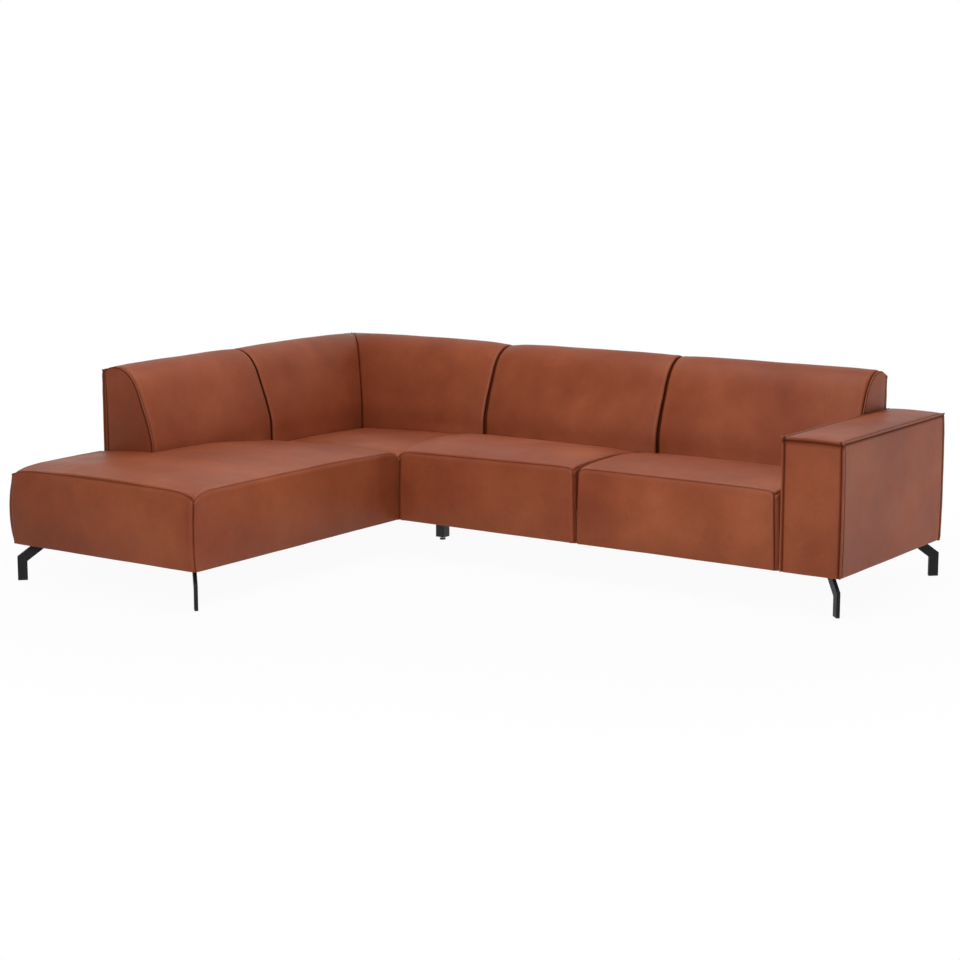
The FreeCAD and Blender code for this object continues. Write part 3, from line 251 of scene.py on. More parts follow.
def leather_piece(
    name, bm, spans, height, shape, seams, wave=0.0012, ears=(), seed=0.0, soft=(), painted_shade_at=None
):
    """Shapes a block into a sewn piece: its form, then its seams, puckers and soft waves."""
    seam_line_and_shade_layer = bm.verts.layers.float.new("seam")
    wear_and_highlight_layer = bm.verts.layers.float.new("wear_and_highlight")
    painted_shade_layer = bm.verts.layers.float.new("painted_shade")
    reliefs = {}
    for vert in bm.verts:
        away = {}
        for axis, (low, high) in enumerate(spans):
            scale = height if axis == 2 else 1.0
            away[SIDES[2 * axis]] = (vert.co[axis] - low) * scale
            away[SIDES[2 * axis + 1]] = (high - vert.co[axis]) * scale
        relief = 0.0
        nearest = 1.0
        dark = 0.0
        wear_and_highlight = 0.0
        for kind, pairs in seams.items():
            for pair in pairs:
                distance = math.hypot(away[pair[0]], away[pair[1]])
                if distance < SEAM_REACH:
                    shade, lightening = seam_shade(kind, distance)
                    # A soft seam in an inner corner gets a broad painted shade and no lightening
                    if pair in soft:
                        shade = SOFT_SHADE * bell(distance, 0.0, SOFT_WIDTH)
                        lightening = 0.0
                    relief += seam_relief(kind, distance) * (SOFT_RELIEF if pair in soft else 1.0)
                    dark = max(dark, shade)
                    wear_and_highlight = max(wear_and_highlight, lightening)
                if kind != "fold":
                    nearest = min(nearest, distance)
        for corner, rise in ears:
            distance = math.sqrt(sum(away[side] ** 2 for side in corner))
            relief += rise * bell(distance, 0.0, 0.007)
        # The seam's own dark line, with painted shade in its valley and grooves
        vert[seam_line_and_shade_layer] = dark
        # Lighter for wear on ridges and folds, and a painted highlight on the rolls beside valley seams
        vert[wear_and_highlight_layer] = wear_and_highlight
        # Painted shade the piece adds, such as on the backs and at their foot
        back_shade = painted_shade_at(*vert.co) if painted_shade_at else 0.0
        # Painted shade: the darker of a fall-off from the nearest seam and any painted shade the piece adds
        vert[painted_shade_layer] = max(math.exp(-nearest / PAINTED_SHADE_REACH), back_shade)
        reliefs[vert] = (relief, nearest)
        vert.co = shape(*vert.co)
    bmesh.ops.recalc_face_normals(bm, faces=bm.faces[:])
    bm.normal_update()
    offset = Vector((seed, seed * 1.7, seed * 0.6))
    for vert, (relief, nearest) in reliefs.items():
        place = vert.co + offset
        near = math.exp(-nearest / PUCKER_REACH)
        pucker = PUCKER * near * noise.noise(place * 55)
        swell = wave * noise.noise(place * 5.5) * (1 - math.exp(-nearest / 0.05))
        fine = 0.35 * wave * noise.noise(place * 16) * (1 - math.exp(-nearest / 0.04))
        vert.co += vert.normal * (relief + pucker + swell + fine)
    return finished(name, bm, leather)


def finished(name, bm, material, smooth=True):
    """A mesh object in the part's own frame, riding on the sofa's body."""
    bmesh.ops.translate(bm, verts=bm.verts, vec=PLAN_ORIGIN)
    mesh = bpy.data.meshes.new(name)
    bm.to_mesh(mesh)
    bm.free()
    for face in mesh.polygons:
        face.use_smooth = smooth
    mesh.materials.append(material)
    piece = bpy.data.objects.new(name, mesh)
    bpy.context.scene.collection.objects.link(piece)
    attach(piece, "root")
    return piece


def refined(piece):
    """One step of subdivision, the same in the view and in the render."""
    finer = piece.modifiers.new("finer", "SUBSURF")
    finer.levels = 1
    finer.render_levels = 1
    return piece


# Materials

def material(name, colour, roughness, metallic=0.0):
    """A new material with its tree and its shader."""
    made = bpy.data.materials.new(name)
    made.use_nodes = True
    shader = made.node_tree.nodes["Principled BSDF"]
    shader.inputs["Base Color"].default_value = colour
    shader.inputs["Roughness"].default_value = roughness
    shader.inputs["Metallic"].default_value = metallic
    return made, made.node_tree, shader


def node(tree, kind, inputs=(), **settings):
    """A new node, with values for its sockets and settings of its own."""
    made = tree.nodes.new(kind)
    for key, value in settings.items():
        setattr(made, key, value)
    for key, value in dict(inputs).items():
        made.inputs[key].default_value = value
    return made


def ramp(tree, source, stops):
    """Turns a value into a colour, through stops of position and colour."""
    made = tree.nodes.new("ShaderNodeValToRGB")
    elements = made.color_ramp.elements
    while len(elements) < len(stops):
        elements.new(0.5)
    for element, (position, colour) in zip(elements, stops):
        element.position = position
        element.color = colour
    tree.links.new(source, made.inputs["Fac"])
    return made.outputs["Color"]


def eased(tree, source, run, result, kind="LINEAR"):
    """Turns a run of values into another, level beyond both ends."""
    given = {"From Min": run[0], "From Max": run[1], "To Min": result[0], "To Max": result[1]}
    made = node(tree, "ShaderNodeMapRange", given, interpolation_type=kind)
    tree.links.new(source, made.inputs["Value"])
    return made.outputs[0]


def grey(value):
    """An even grey, as a linear value, for a shader."""
    return (value, value, value, 1.0)


def mixed(tree, blend, factor, first, second):
    """Two colours blended; each, and the factor, may be a constant or another node's output."""
    made = node(tree, "ShaderNodeMix", data_type="RGBA", blend_type=blend)
    if isinstance(factor, float):
        made.inputs[0].default_value = factor
    else:
        tree.links.new(factor, made.inputs[0])
    for socket, value in ((6, first), (7, second)):
        if isinstance(value, tuple):
            made.inputs[socket].default_value = value
        else:
            tree.links.new(value, made.inputs[socket])
    return made.outputs[2]


def texture(tree, place, kind, **inputs):
    """A procedural texture read at a place."""
    made = node(tree, kind)
    for key, value in inputs.items():
        made.inputs[key.replace("_", " ").title()].default_value = value
    tree.links.new(place, made.inputs["Vector"])
    return made


def bumped(tree, shader, layers):
    """Chains bumps on a shader: height, strength and depth for each."""
    normal = None
    for height, strength, depth in layers:
        bump = node(tree, "ShaderNodeBump", {"Strength": strength, "Distance": depth})
        tree.links.new(height, bump.inputs["Height"])
        if normal is not None:
            tree.links.new(normal, bump.inputs["Normal"])
        normal = bump.outputs["Normal"]
    tree.links.new(normal, shader.inputs["Normal"])


def make_leather():
    """Waxed pull-up leather: clouded colour, fine pebbled grain, dark seam lines partly painted shade,
    ridges lightened by wear, painted highlights on the rolls beside seams, and painted shade near the seams
    and at the foot of the backs.
    """
    made, tree, shader = material("cognac_leather", srgb(129, 64, 42), 0.5)
    place = node(tree, "ShaderNodeTexCoord").outputs["Object"]
    clouds = texture(tree, place, "ShaderNodeTexNoise", scale=3.0, detail=4.0, roughness=0.55)
    patches = texture(tree, place, "ShaderNodeTexNoise", scale=10.0, detail=5.0, roughness=0.6)
    flecks = texture(tree, place, "ShaderNodeTexNoise", scale=95.0, detail=4.0, roughness=0.6)
    broad = ramp(
        tree,
        clouds.outputs["Fac"],
        ((0.30, srgb(117, 54, 31)), (0.52, srgb(129, 64, 38)), (0.72, srgb(141, 74, 46))),
    )
    spots = ramp(tree, patches.outputs["Fac"], ((0.30, grey(0.40)), (0.70, grey(0.60))))
    colour = mixed(tree, "OVERLAY", 0.32, broad, spots)
    fleck_tone = ramp(tree, flecks.outputs["Fac"], ((0.35, grey(0.44)), (0.65, grey(0.56))))
    colour = mixed(tree, "OVERLAY", 0.35, colour, fleck_tone)
    for name, most, tone in (
        # Painted shade near the seams and on the backs
        ("painted_shade", 0.28, srgb(84, 31, 16)),
        # Lighter for wear on ridges and folds, and a painted highlight on the rolls beside valley seams
        ("wear_and_highlight", 0.30, srgb(168, 100, 72)),
        # The seam line: partly its own dark colour, partly painted shade in its valley, in the grooves
        # beside raised seams and in the soft inner corners
        ("seam", 0.88, srgb(46, 15, 8)),
    ):
        mark = node(tree, "ShaderNodeAttribute", attribute_name=name)
        share = node(tree, "ShaderNodeMath", {1: most}, operation="MULTIPLY")
        tree.links.new(mark.outputs["Fac"], share.inputs[0])
        colour = mixed(tree, "MIX", share.outputs[0], colour, tone)
    tree.links.new(colour, shader.inputs["Base Color"])
    shine = ramp(tree, patches.outputs["Fac"], ((0.3, grey(0.44)), (0.7, grey(0.56))))
    tree.links.new(shine, shader.inputs["Roughness"])
    pebbles = texture(tree, place, "ShaderNodeTexVoronoi", scale=430.0, randomness=1.0)
    pores = texture(tree, place, "ShaderNodeTexNoise", scale=900.0, detail=2.0, roughness=0.5)
    wrinkles = texture(tree, place, "ShaderNodeTexNoise", scale=60.0, detail=6.0, roughness=0.65)
    bumped(
        tree,
        shader,
        (
            (wrinkles.outputs["Fac"], 0.20, 0.0008),
            (pebbles.outputs["Distance"], 0.22, 0.0004),
            (pores.outputs["Fac"], 0.12, 0.0002),
        ),
    )
    mark = node(tree, "ShaderNodeAttribute", attribute_name="seam")
    dull = eased(tree, mark.outputs["Fac"], (0.0, 0.6), (0.22, 0.03))
    shader.inputs["Specular IOR Level"].default_value = 0.22
    tree.links.new(dull, shader.inputs["Specular IOR Level"])
    shader.inputs["Specular Tint"].default_value = srgb(255, 242, 230)
    return made


def make_powder_coat():
    """Black powder coat: satin, with the fine orange peel of baked paint."""
    made, tree, shader = material("black_powder_coat", srgb(18, 18, 19), 0.5)
    place = node(tree, "ShaderNodeTexCoord").outputs["Object"]
    peel = texture(tree, place, "ShaderNodeTexNoise", scale=1100.0, detail=2.0, roughness=0.5)
    cloud = texture(tree, place, "ShaderNodeTexNoise", scale=40.0, detail=3.0, roughness=0.5)
    tone = ramp(tree, cloud.outputs["Fac"], ((0.3, srgb(14, 14, 15)), (0.7, srgb(22, 22, 23))))
    tree.links.new(tone, shader.inputs["Base Color"])
    shine = ramp(tree, cloud.outputs["Fac"], ((0.3, grey(0.44)), (0.7, grey(0.56))))
    tree.links.new(shine, shader.inputs["Roughness"])
    bumped(tree, shader, ((peel.outputs["Fac"], 0.25, 0.0002),))
    shader.inputs["Specular IOR Level"].default_value = 0.20
    return made


def make_plastic():
    """Black moulded plastic with a fine spark texture."""
    made, tree, shader = material("black_moulded_plastic", srgb(24, 24, 25), 0.55)
    place = node(tree, "ShaderNodeTexCoord").outputs["Object"]
    spark = texture(tree, place, "ShaderNodeTexNoise", scale=1600.0, detail=2.0, roughness=0.6)
    tone = ramp(tree, spark.outputs["Fac"], ((0.3, srgb(20, 20, 21)), (0.7, srgb(30, 30, 31))))
    tree.links.new(tone, shader.inputs["Base Color"])
    bumped(tree, shader, ((spark.outputs["Fac"], 0.3, 0.0002),))
    return made


def make_zinc():
    """Zinc-plated steel: bright, faintly spangled."""
    made, tree, shader = material("zinc_plated_steel", srgb(186, 188, 190), 0.34, 1.0)
    place = node(tree, "ShaderNodeTexCoord").outputs["Object"]
    spangle = texture(tree, place, "ShaderNodeTexVoronoi", scale=260.0, randomness=1.0)
    tone = ramp(tree, spangle.outputs["Distance"], ((0.1, srgb(172, 175, 178)), (0.7, srgb(200, 201, 202))))
    tree.links.new(tone, shader.inputs["Base Color"])
    shine = ramp(tree, spangle.outputs["Distance"], ((0.1, grey(0.28)), (0.7, grey(0.42))))
    tree.links.new(shine, shader.inputs["Roughness"])
    return made


def make_timber(name, pale, dark, stretch):
    """Planed timber or board: grain lines along one direction, with slow bands."""
    made, tree, shader = material(name, pale, 0.6)
    place = node(tree, "ShaderNodeTexCoord").outputs["Object"]
    stretched = node(tree, "ShaderNodeMapping", {"Scale": stretch})
    tree.links.new(place, stretched.inputs["Vector"])
    grain = texture(tree, stretched.outputs[0], "ShaderNodeTexNoise", scale=30.0, detail=6.0, roughness=0.6)
    bands = texture(tree, stretched.outputs[0], "ShaderNodeTexWave", scale=4.0, distortion=5.0, detail=3.0)
    tone = ramp(tree, grain.outputs["Fac"], ((0.32, dark), (0.62, pale)))
    band_tone = ramp(tree, bands.outputs["Fac"], ((0.0, grey(0.44)), (1.0, grey(0.56))))
    tree.links.new(mixed(tree, "OVERLAY", 0.6, tone, band_tone), shader.inputs["Base Color"])
    bumped(tree, shader, ((grain.outputs["Fac"], 0.2, 0.0004),))
    return made


def make_cloth(name, pale, dark, threads):
    """Plain woven or felted cloth: crossed threads and a soft fuzz."""
    made, tree, shader = material(name, pale, 0.9)
    place = node(tree, "ShaderNodeTexCoord").outputs["Object"]
    warp = texture(tree, place, "ShaderNodeTexWave", scale=threads, distortion=0.4)
    warp.bands_direction = "X"
    weft = texture(tree, place, "ShaderNodeTexWave", scale=threads, distortion=0.4)
    weft.bands_direction = "Y"
    crossed = mixed(tree, "MULTIPLY", 1.0, warp.outputs["Color"], weft.outputs["Color"])
    fuzz = texture(tree, place, "ShaderNodeTexNoise", scale=240.0, detail=4.0, roughness=0.6)
    tone = ramp(tree, crossed, ((0.1, dark), (0.7, pale)))
    fuzz_tone = ramp(tree, fuzz.outputs["Fac"], ((0.3, grey(0.42)), (0.7, grey(0.58))))
    tree.links.new(mixed(tree, "OVERLAY", 0.6, tone, fuzz_tone), shader.inputs["Base Color"])
    bumped(tree, shader, ((crossed, 0.4, 0.0004), (fuzz.outputs["Fac"], 0.2, 0.0004)))
    return made


def make_foam():
    """Cut foam: pale, with open cells."""
    made, tree, shader = material("cut_foam", srgb(232, 222, 190), 0.95)
    place = node(tree, "ShaderNodeTexCoord").outputs["Object"]
    cells = texture(tree, place, "ShaderNodeTexVoronoi", scale=620.0, randomness=1.0)
    tone = ramp(tree, cells.outputs["Distance"], ((0.0, srgb(206, 192, 152)), (0.5, srgb(238, 229, 200))))
    tree.links.new(tone, shader.inputs["Base Color"])
    bumped(tree, shader, ((cells.outputs["Distance"], 0.5, 0.0006),))
    return made


leather = make_leather()
powder_coat = make_powder_coat()
plastic = make_plastic()
zinc = make_zinc()
timber = make_timber("pine_rails", srgb(206, 168, 118), srgb(170, 126, 78), (2.0, 2.0, 0.25))
board = make_timber("frame_board", srgb(196, 160, 116), srgb(158, 120, 80), (0.3, 2.0, 2.0))
webbing = make_cloth("elastic_webbing", srgb(52, 50, 48), srgb(20, 20, 20), 260.0)
dust_cloth = make_cloth("dust_cloth", srgb(38, 38, 39), srgb(16, 16, 16), 420.0)
foam = make_foam()

SLOT_MATERIALS = {
    "leather": leather,
    "foam": foam,
    "webbing": webbing,
    "dust_cloth": dust_cloth,
    "frame_timber": timber,
    "frame_board": board,
    "black_steel": powder_coat,
    "zinc_steel": zinc,
    "black_plastic": plastic,
}


def dress_frame():
    """Gives every piece of the frame its own finish."""
    for row in frame["record"]["subparts"]:
        mesh = nodes[row["node"]].data
        mesh.materials.clear()
        mesh.materials.append(SLOT_MATERIALS[row["material_slot"]])


# Seats

# A cover that gives at the arm does so near its front only, over this depth
GIVE_DEPTH = 0.022


def seat_block(name, start, end, seam_at, replaced, seed, right_give=0.0):
    """A seat of the long side: swollen front border, crowned top, drawn down at its sides."""
    rear = BACK_LINE - SOFT_GAP
    middle = (start + end) / 2
    half = (end - start) / 2
    spans = ((start, end), (FRONT, rear), (0.0, 1.0))
    corners = ((start, FRONT, 0.011, 0.024), (end, FRONT, 0.011, 0.024))

    def shape(x, y, share):
        fullness = full(x - start) * full(end - x)
        drawn = SEAT_DRAW_IN * (1 - fullness)
        crown = CROWN - 2 * drawn
        fall = SEAT_REAR - drawn
        end_droop = 0.005 * (math.exp(-((x - start) / 0.016)) + math.exp(-((end - x) / 0.016)))
        seam = seam_at((x - start) / (end - start)) - end_droop
        depth = y - FRONT
        if depth < CROWN_DEPTH:
            top = crown - (crown - seam) * min(1.0, (CROWN_DEPTH - depth) / CROWN_DEPTH) ** 2.2
        else:
            top = crown - (crown - fall) * ((depth - CROWN_DEPTH) / (rear - FRONT - CROWN_DEPTH)) ** 2
        top -= dip(x, y, corners)
        lean = 0.0015 + 0.008 * max(0.0, (share - 0.3) / 0.7) ** 1.3
        aside = (x - middle) / half
        give = right_give * math.exp(-depth / GIVE_DEPTH) if aside > 0 else 0.0
        x -= (lean * (0.3 + 0.7 * math.exp(-depth / 0.3)) + give) * math.copysign(abs(aside) ** 14, aside)
        y -= FRONT_BULGE * arch(share) * (0.1 + 0.9 * fullness) * (1 - depth / (rear - FRONT)) ** 2
        return Vector((x, y, HEM + share * (top - HEM)))

    bm = block(spans, (58, 40, 26))
    top_seams = (("front", "top"), ("left", "top"), ("right", "top"))
    seams = {
        "valley": (*top_seams, ("front", "left"), ("front", "right")),
        "fold": (("front", "under"),),
    }
    piece = leather_piece(name, bm, spans, SEAM - HEM, shape, seams, seed=seed)
    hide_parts(*replaced)
    refined(piece)


def make_long_seats():
    seat_block(
        "middle_seat",
        WING + SEAM_GAP,
        SPLIT - SEAM_GAP,
        lambda share: CORNER_SEAM + (SEAM - CORNER_SEAM) * share,
        ("middle_seat_cover",),
        1.0,
    )
    seat_block(
        "right_seat",
        SPLIT + SEAM_GAP,
        ARM - ARM_GAP,
        lambda share: SEAM - 0.003 * max(0.0, share - 0.85) / 0.15,
        ("right_seat_cover",),
        2.0,
        right_give=0.017,
    )


# Where the seams of the wing's front corners pull the leather down: place, depth and reach
WING_DIPS = ((0.0, 0.0, 0.004, 0.024), (WING, 0.0, 0.015, 0.028))


def bowed(x, y, share):
    """The wing's front corners bow outwards half way up, seam and all."""
    bow = arch(share)
    left = bell(math.hypot(x, y), 0.0, 0.10)
    right = bow * bell(math.hypot(WING - x, y), 0.0, 0.08)
    outwards = 0.010 * bow + 0.004 + 0.006 * (1 - share)
    return x - outwards * left, y - 0.007 * bow * left - 0.007 * right


def make_wing_seat():
    """The wing's seat: crowned, open-ended, and tucked down round the foot of its back."""
    front = RIM + SOFT_GAP
    end = FRONT - SOFT_GAP / 2
    near = 0.06
    wide = 0.15
    drop = SEAT_SLOPE
    places = (front, front + near, front + wide, 0.45 * end, 0.7 * end, end - wide, end - near, end)
    left_seams = (
        CORNER_SEAM - 0.003,
        SEAM - 0.006,
        SEAM,
        SEAM,
        SEAM - drop,
        SEAM - 2 * drop,
        SEAM - 3 * drop,
        CORNER_SEAM - 3 * drop,
    )
    crowns = (
        SEAM + 0.001,
        CROWN - drop,
        CROWN - 0.004,
        CROWN,
        CROWN - drop / 2,
        SEAM - drop / 2,
        SEAM - drop,
        CORNER_SEAM - drop,
    )
    right_seams = (
        CORNER_SEAM - 0.003,
        SEAM - 0.006,
        SEAM - 0.004,
        SEAM - 0.004,
        SEAM - 0.006,
        CORNER_SEAM + 0.004,
        CORNER_SEAM + 0.001,
        CORNER_SEAM - 0.003,
    )
    outer_fullness = (0.5, 0.75, 0.9, 1.0, 0.95, 0.8, 0.6, 0.4)
    inner_fullness = (0.15, 0.62, 0.9, 1.0, 0.95, 0.75, 0.3, 0.03)
    spans = ((0.0, WING), (front, end), (0.0, 1.0))
    notch_x = BACK - SOFT_GAP
    notch_y = OPEN_END
    corners = WING_DIPS + ((WING, FRONT, 0.012, 0.030),)

    def shape(x, y, share):
        left = smooth_between(places, left_seams, y)
        crown = smooth_between(places, crowns, y)
        right = smooth_between(places, right_seams, y)
        across = x / WING
        level = left + (right - left) * across
        top = level + (crown - (left + right) / 2) * (1 - abs(2 * across - 1) ** 2.1)
        top -= dip(x, y, corners)
        if y > notch_y and x < notch_x:
            top = DECK - 0.006
            x = max(x, INSIDE + SOFT_GAP)
        else:
            x, y = bowed(x, y, share)
        bulge = arch(share)
        if x > WING / 2:
            x += INNER_BULGE * smooth_between(places, inner_fullness, y) * bulge * (2 * across - 1) ** 6
        elif y <= notch_y:
            x -= SIDE_BULGE * smooth_between(places, outer_fullness, y) * bulge * (1 - 2 * across) ** 6
        return Vector((x, y, HEM + share * (top - HEM)))

    step = 0.0012
    planes = ((0, notch_x), (0, notch_x + step), (1, notch_y), (1, notch_y + step))
    bm = block(spans, (58, 76, 26), planes=planes)
    seams = {
        "valley": (("left", "top"), ("right", "top"), ("front", "top"), ("rear", "top")),
        "fold": (("right", "under"), ("left", "under")),
    }
    piece = leather_piece("wing_seat", bm, spans, SEAM - HEM, shape, seams, seed=3.0)
    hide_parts("wing_seat_cover")
    refined(piece)


def border(
    name, side, start, end, top_at, bulge, replaced, kind="ridge", ears=(), seed=0.0
):
    """A sewn-in end panel: thin at its seams, swollen between them."""
    spans = ((start, end), (0.0, RIM), (0.0, 1.0))

    def shape(along, inwards, share):
        fullness = full(along - start) * full(end - along)
        swell = bulge * arch(share) * fullness * (1 - inwards / RIM)
        top = top_at(along)
        if start == ARM:
            along += ARM_BULGE * (0.3 + 0.56 * arch(share) ** 0.8) * ((along - start) / (end - start)) ** 6
        return side(along, inwards - swell, HEM + share * (top - HEM))

    bm = block(spans, (int((end - start) * 70) + 14, 2, 26), closer=(CLOSER, 0.0, CLOSER))
    seams = {
        kind: (("front", "top"), ("front", "left"), ("front", "right")),
        "fold": (("front", "under"),),
    }
    piece = leather_piece(name, bm, spans, SEAM - HEM, shape, seams, ears=ears, seed=seed)
    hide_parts(replaced)
    refined(piece)


def at_long_front(along, inwards, up):
    return Vector((along, FRONT + inwards, up))


def at_left(along, inwards, up):
    return Vector((inwards, along, up))


def at_rear(along, inwards, up):
    return Vector((along, DEPTH - inwards, up))


def make_wing_front():
    def top_at(along):
        away = max(min(along, WING - along), 0.0)
        sag = 0.0165 * math.exp(-((away / 0.055) ** 1.4)) + 0.003 * math.exp(-away / 0.3)
        return SEAM - sag - dip(along, 0.0, WING_DIPS)

    def side(along, inwards, up):
        x, y = bowed(along, inwards, (up - HEM) / (SEAM - HEM))
        return Vector((x, y, up))

    border(
        "wing_front_panel",
        side,
        0.0,
        WING,
        top_at,
        FRONT_BULGE,
        "wing_front_border",
        kind="valley",
        seed=4.0,
    )


def make_corner_seat():
    start = BACK + SOFT_GAP
    front = FRONT + SOFT_GAP / 2
    rear = BACK_LINE - SOFT_GAP
    spans = ((start, WING), (front, rear), (0.0, 1.0))
    places = (front, front + 0.06, (front + rear) / 2, rear)
    left_heights = (SEAT_REAR - 0.018, SEAT_REAR - 0.009, SEAT_REAR - 0.009, SEAT_REAR - 0.018)
    middle_heights = (CORNER_SEAM - 0.009, CORNER_SEAM + 0.003, CORNER_SEAM, SEAT_REAR - 0.004)
    right_heights = (CORNER_SEAM - 0.009, CORNER_SEAM, CORNER_SEAM + 0.002, SEAT_REAR)

    def shape(x, y, share):
        across = (x - start) / (WING - start)
        left = smooth_between(places, left_heights, y)
        middle = smooth_between(places, middle_heights, y)
        right = smooth_between(places, right_heights, y)
        level = left + (right - left) * across
        top = level + (middle - (left + right) / 2) * arch(across)
        top -= 0.010 * math.exp(-(WING - x) / 0.030) + 0.005 * math.exp(-(y - front) / 0.030)
        top -= dip(x, y, ((WING, FRONT, 0.006, 0.030),))
        return Vector((x, y, HEM + share * (top - HEM)))

    bm = block(spans, (40, 40, 14))
    seams = {"valley": (("front", "top"), ("right", "top"))}
    piece = leather_piece("corner_seat", bm, spans, SEAM - HEM, shape, seams, seed=5.0)
    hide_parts("corner_seat_cover")
    refined(piece)


# Backs

# The crown on top of the backs, how much of it they keep at a sewn end and in the mitre, and how
# far the long side's backs rise towards the arm
CREST = 0.020
CREST_AT_SEAM = 0.75
CREST_AT_MITRE = 0.25
RISE = 0.010

BACK_FACE = Profile(
    (
        (0.2700, DECK),
        (0.2660, 0.360),
        (0.2670, 0.430),
        (0.2655, 0.500),
        (0.2450, 0.575),
        (0.2130, 0.655),
        (0.1880, 0.712),
        (0.1560, 0.752),
        (0.1120, 0.7745),
        (0.0640, 0.7815),
        (INSIDE, BACK_TOP),
    )
)

# By the share of the way up the face: how far a back swells out, and how much of the crown it has
SWELL_SHARES = (0.0, 0.12, 0.20, 0.29, 0.39, 0.50, 0.62, 0.72, 0.86, 0.93, 1.0)
SWELLS = (0.025, 0.032, 0.031, 0.021, 0.015, 0.014, 0.013, 0.010, 0.004, 0.001, 0.0)
CREST_SHARES = (0.0, 0.50, 0.64, 0.76, 0.86, 0.93, 1.0)
CRESTS = (0.0, 0.0, 0.2, 0.65, 1.0, 0.85, 0.0)

# The rear seam lies this low, and the depth and the face of a back count as this long where
# distances from its seams are measured
REAR_TOP = BACK_TOP - 0.006
BACK_DEPTH = 0.3
BACK_RUN = 0.75

# Painted shade on the backs: how much darker they are all over, how much more so at their foot, and where
# that fades out
BACK_SHADE = 0.5
FOOT_SHADE = 0.4
LOW_FACE = 0.17
LOW_FADE = 0.10


def crest_at(share_up, fullness, least, rise):
    """How far the crown lifts the top of a back, by how far up its face a point lies."""
    kept = least + (1 - least) * fullness
    lift = smooth_between(CREST_SHARES, CRESTS, share_up) * (CREST * kept + rise)
    return lift + 0.5 * rise * max(0.0, (share_up - 0.93) / 0.07)


def back_piece(
    name, side, start_at, end_at, fullness_at, replaced, seams, seed, gaps=(0.0, 0.0),
    soft=(), crests=(CREST_AT_SEAM, CREST_AT_SEAM), rises=(0.0, 0.0)
):
    """A back cushion: its face rolls over the top to the rear seam. Its ends may lie on a mitre."""
    start = start_at(0.0)
    end = end_at(0.0)

    def shape(share_along, share_in, share_up):
        fullness = fullness_at(share_along)
        face = BACK_FACE.at(share_up)
        swell = smooth_between(SWELL_SHARES, SWELLS, share_up) * fullness
        face = face + BACK_FACE.outward(share_up) * swell
        least = crests[0] + (crests[1] - crests[0]) * share_along
        rise = rises[0] + (rises[1] - rises[0]) * share_along
        face.y += crest_at(share_up, fullness, least, rise)
        rear = Vector((INSIDE, DECK + share_up * (REAR_TOP + 0.5 * rise - DECK)))
        spot = face.lerp(rear, share_in)
        low = start_at(spot.x)
        high = end_at(spot.x)
        parted = (1 - share_up) ** 1.3
        low += gaps[0] * parted
        high -= gaps[1] * parted
        return side(low + share_along * (high - low), spot.x, spot.y)

    length = abs(end - start)
    bm = block(UNIT_SPANS, (int(length * 52) + 12, 6, 62), closer=(CLOSER, 0.3, 0.55))
    back_dressed(name, bm, (length, BACK_DEPTH, BACK_RUN), shape, replaced, seams, seed, soft)


def back_dressed(name, bm, lengths, shape, replaced, seams, seed, soft=()):
    """The seams of a back lie on a unit block, so its distances are scaled by its lengths."""
    for vert in bm.verts:
        vert.co = Vector([vert.co[axis] * lengths[axis] for axis in range(3)])
    spans = tuple((0.0, size) for size in lengths)

    def scaled(*place):
        return shape(*[place[axis] / lengths[axis] for axis in range(3)])

    def painted_back_shade(along, inwards, up):
        """Painted shade: the backs are a touch darker than the seats, most of all down where they meet
        them.
        """
        return BACK_SHADE + FOOT_SHADE * math.exp(-max(up - LOW_FACE, 0.0) / LOW_FADE)

    piece = leather_piece(
        name, bm, spans, 1.0, scaled, seams, wave=0.0016, seed=seed, soft=soft, painted_shade_at=painted_back_shade
    )
    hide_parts(replaced)
    refined(piece)


def make_backs():
    both_ends = {"valley": (("front", "left"), ("front", "right")), "fold": (("front", "top"),)}
    last = ARM - SOFT_GAP - RIM

    def straight(start, end):
        length = end - start

        def fullness_at(share):
            return full(share * length) * full((1 - share) * length)

        return (lambda depth: start), (lambda depth: end), fullness_at

    back_piece(
        "wing_front_back",
        at_left,
        *straight(OPEN_END + RIM + SOFT_GAP, FRONT - SEAM_GAP),
        "wing_front_back_cushion",
        both_ends,
        6.0,
        gaps=(0.0, 0.0015),
    )
    back_piece(
        "middle_back",
        at_rear,
        *straight(WING + SEAM_GAP, SPLIT - SEAM_GAP),
        "middle_back_cushion",
        both_ends,
        7.0,
        gaps=(0.0045, 0.0035),
        crests=(0.35, 0.9),
        rises=(0.0, RISE * 0.6),
    )
    back_piece(
        "right_back",
        at_rear,
        *straight(SPLIT + SEAM_GAP, last),
        "right_back_cushion",
        both_ends,
        8.0,
        gaps=(0.0035, 0.0),
        crests=(CREST_AT_SEAM, 0.9),
        rises=(RISE * 0.6, RISE),
    )

    corner_run = DEPTH - FRONT - SEAM_GAP
    rear_run = WING - SEAM_GAP

    def corner_fullness(from_seam, from_mitre):
        return full(from_seam) * (0.1 + 0.9 * full(from_mitre / 2.2))

    back_piece(
        "wing_corner_back",
        at_left,
        lambda depth: FRONT + SEAM_GAP,
        lambda depth: DEPTH - depth - SOFT_GAP / 2,
        lambda share: corner_fullness(share * corner_run, (1 - share) * (corner_run - BACK)),
        "wing_corner_back_cushion",
        both_ends,
        9.0,
        gaps=(0.0015, 0.0),
        soft=(("front", "right"),),
        crests=(CREST_AT_SEAM, CREST_AT_MITRE),
    )
    back_piece(
        "corner_back",
        at_rear,
        lambda depth: depth + SOFT_GAP / 2,
        lambda depth: WING - SEAM_GAP,
        lambda share: corner_fullness((1 - share) * rear_run, share * (rear_run - BACK)),
        "corner_back_cushion",
        both_ends,
        10.0,
        gaps=(0.0, 0.0055),
        soft=(("front", "left"),),
        crests=(CREST_AT_MITRE, 0.45),
    )


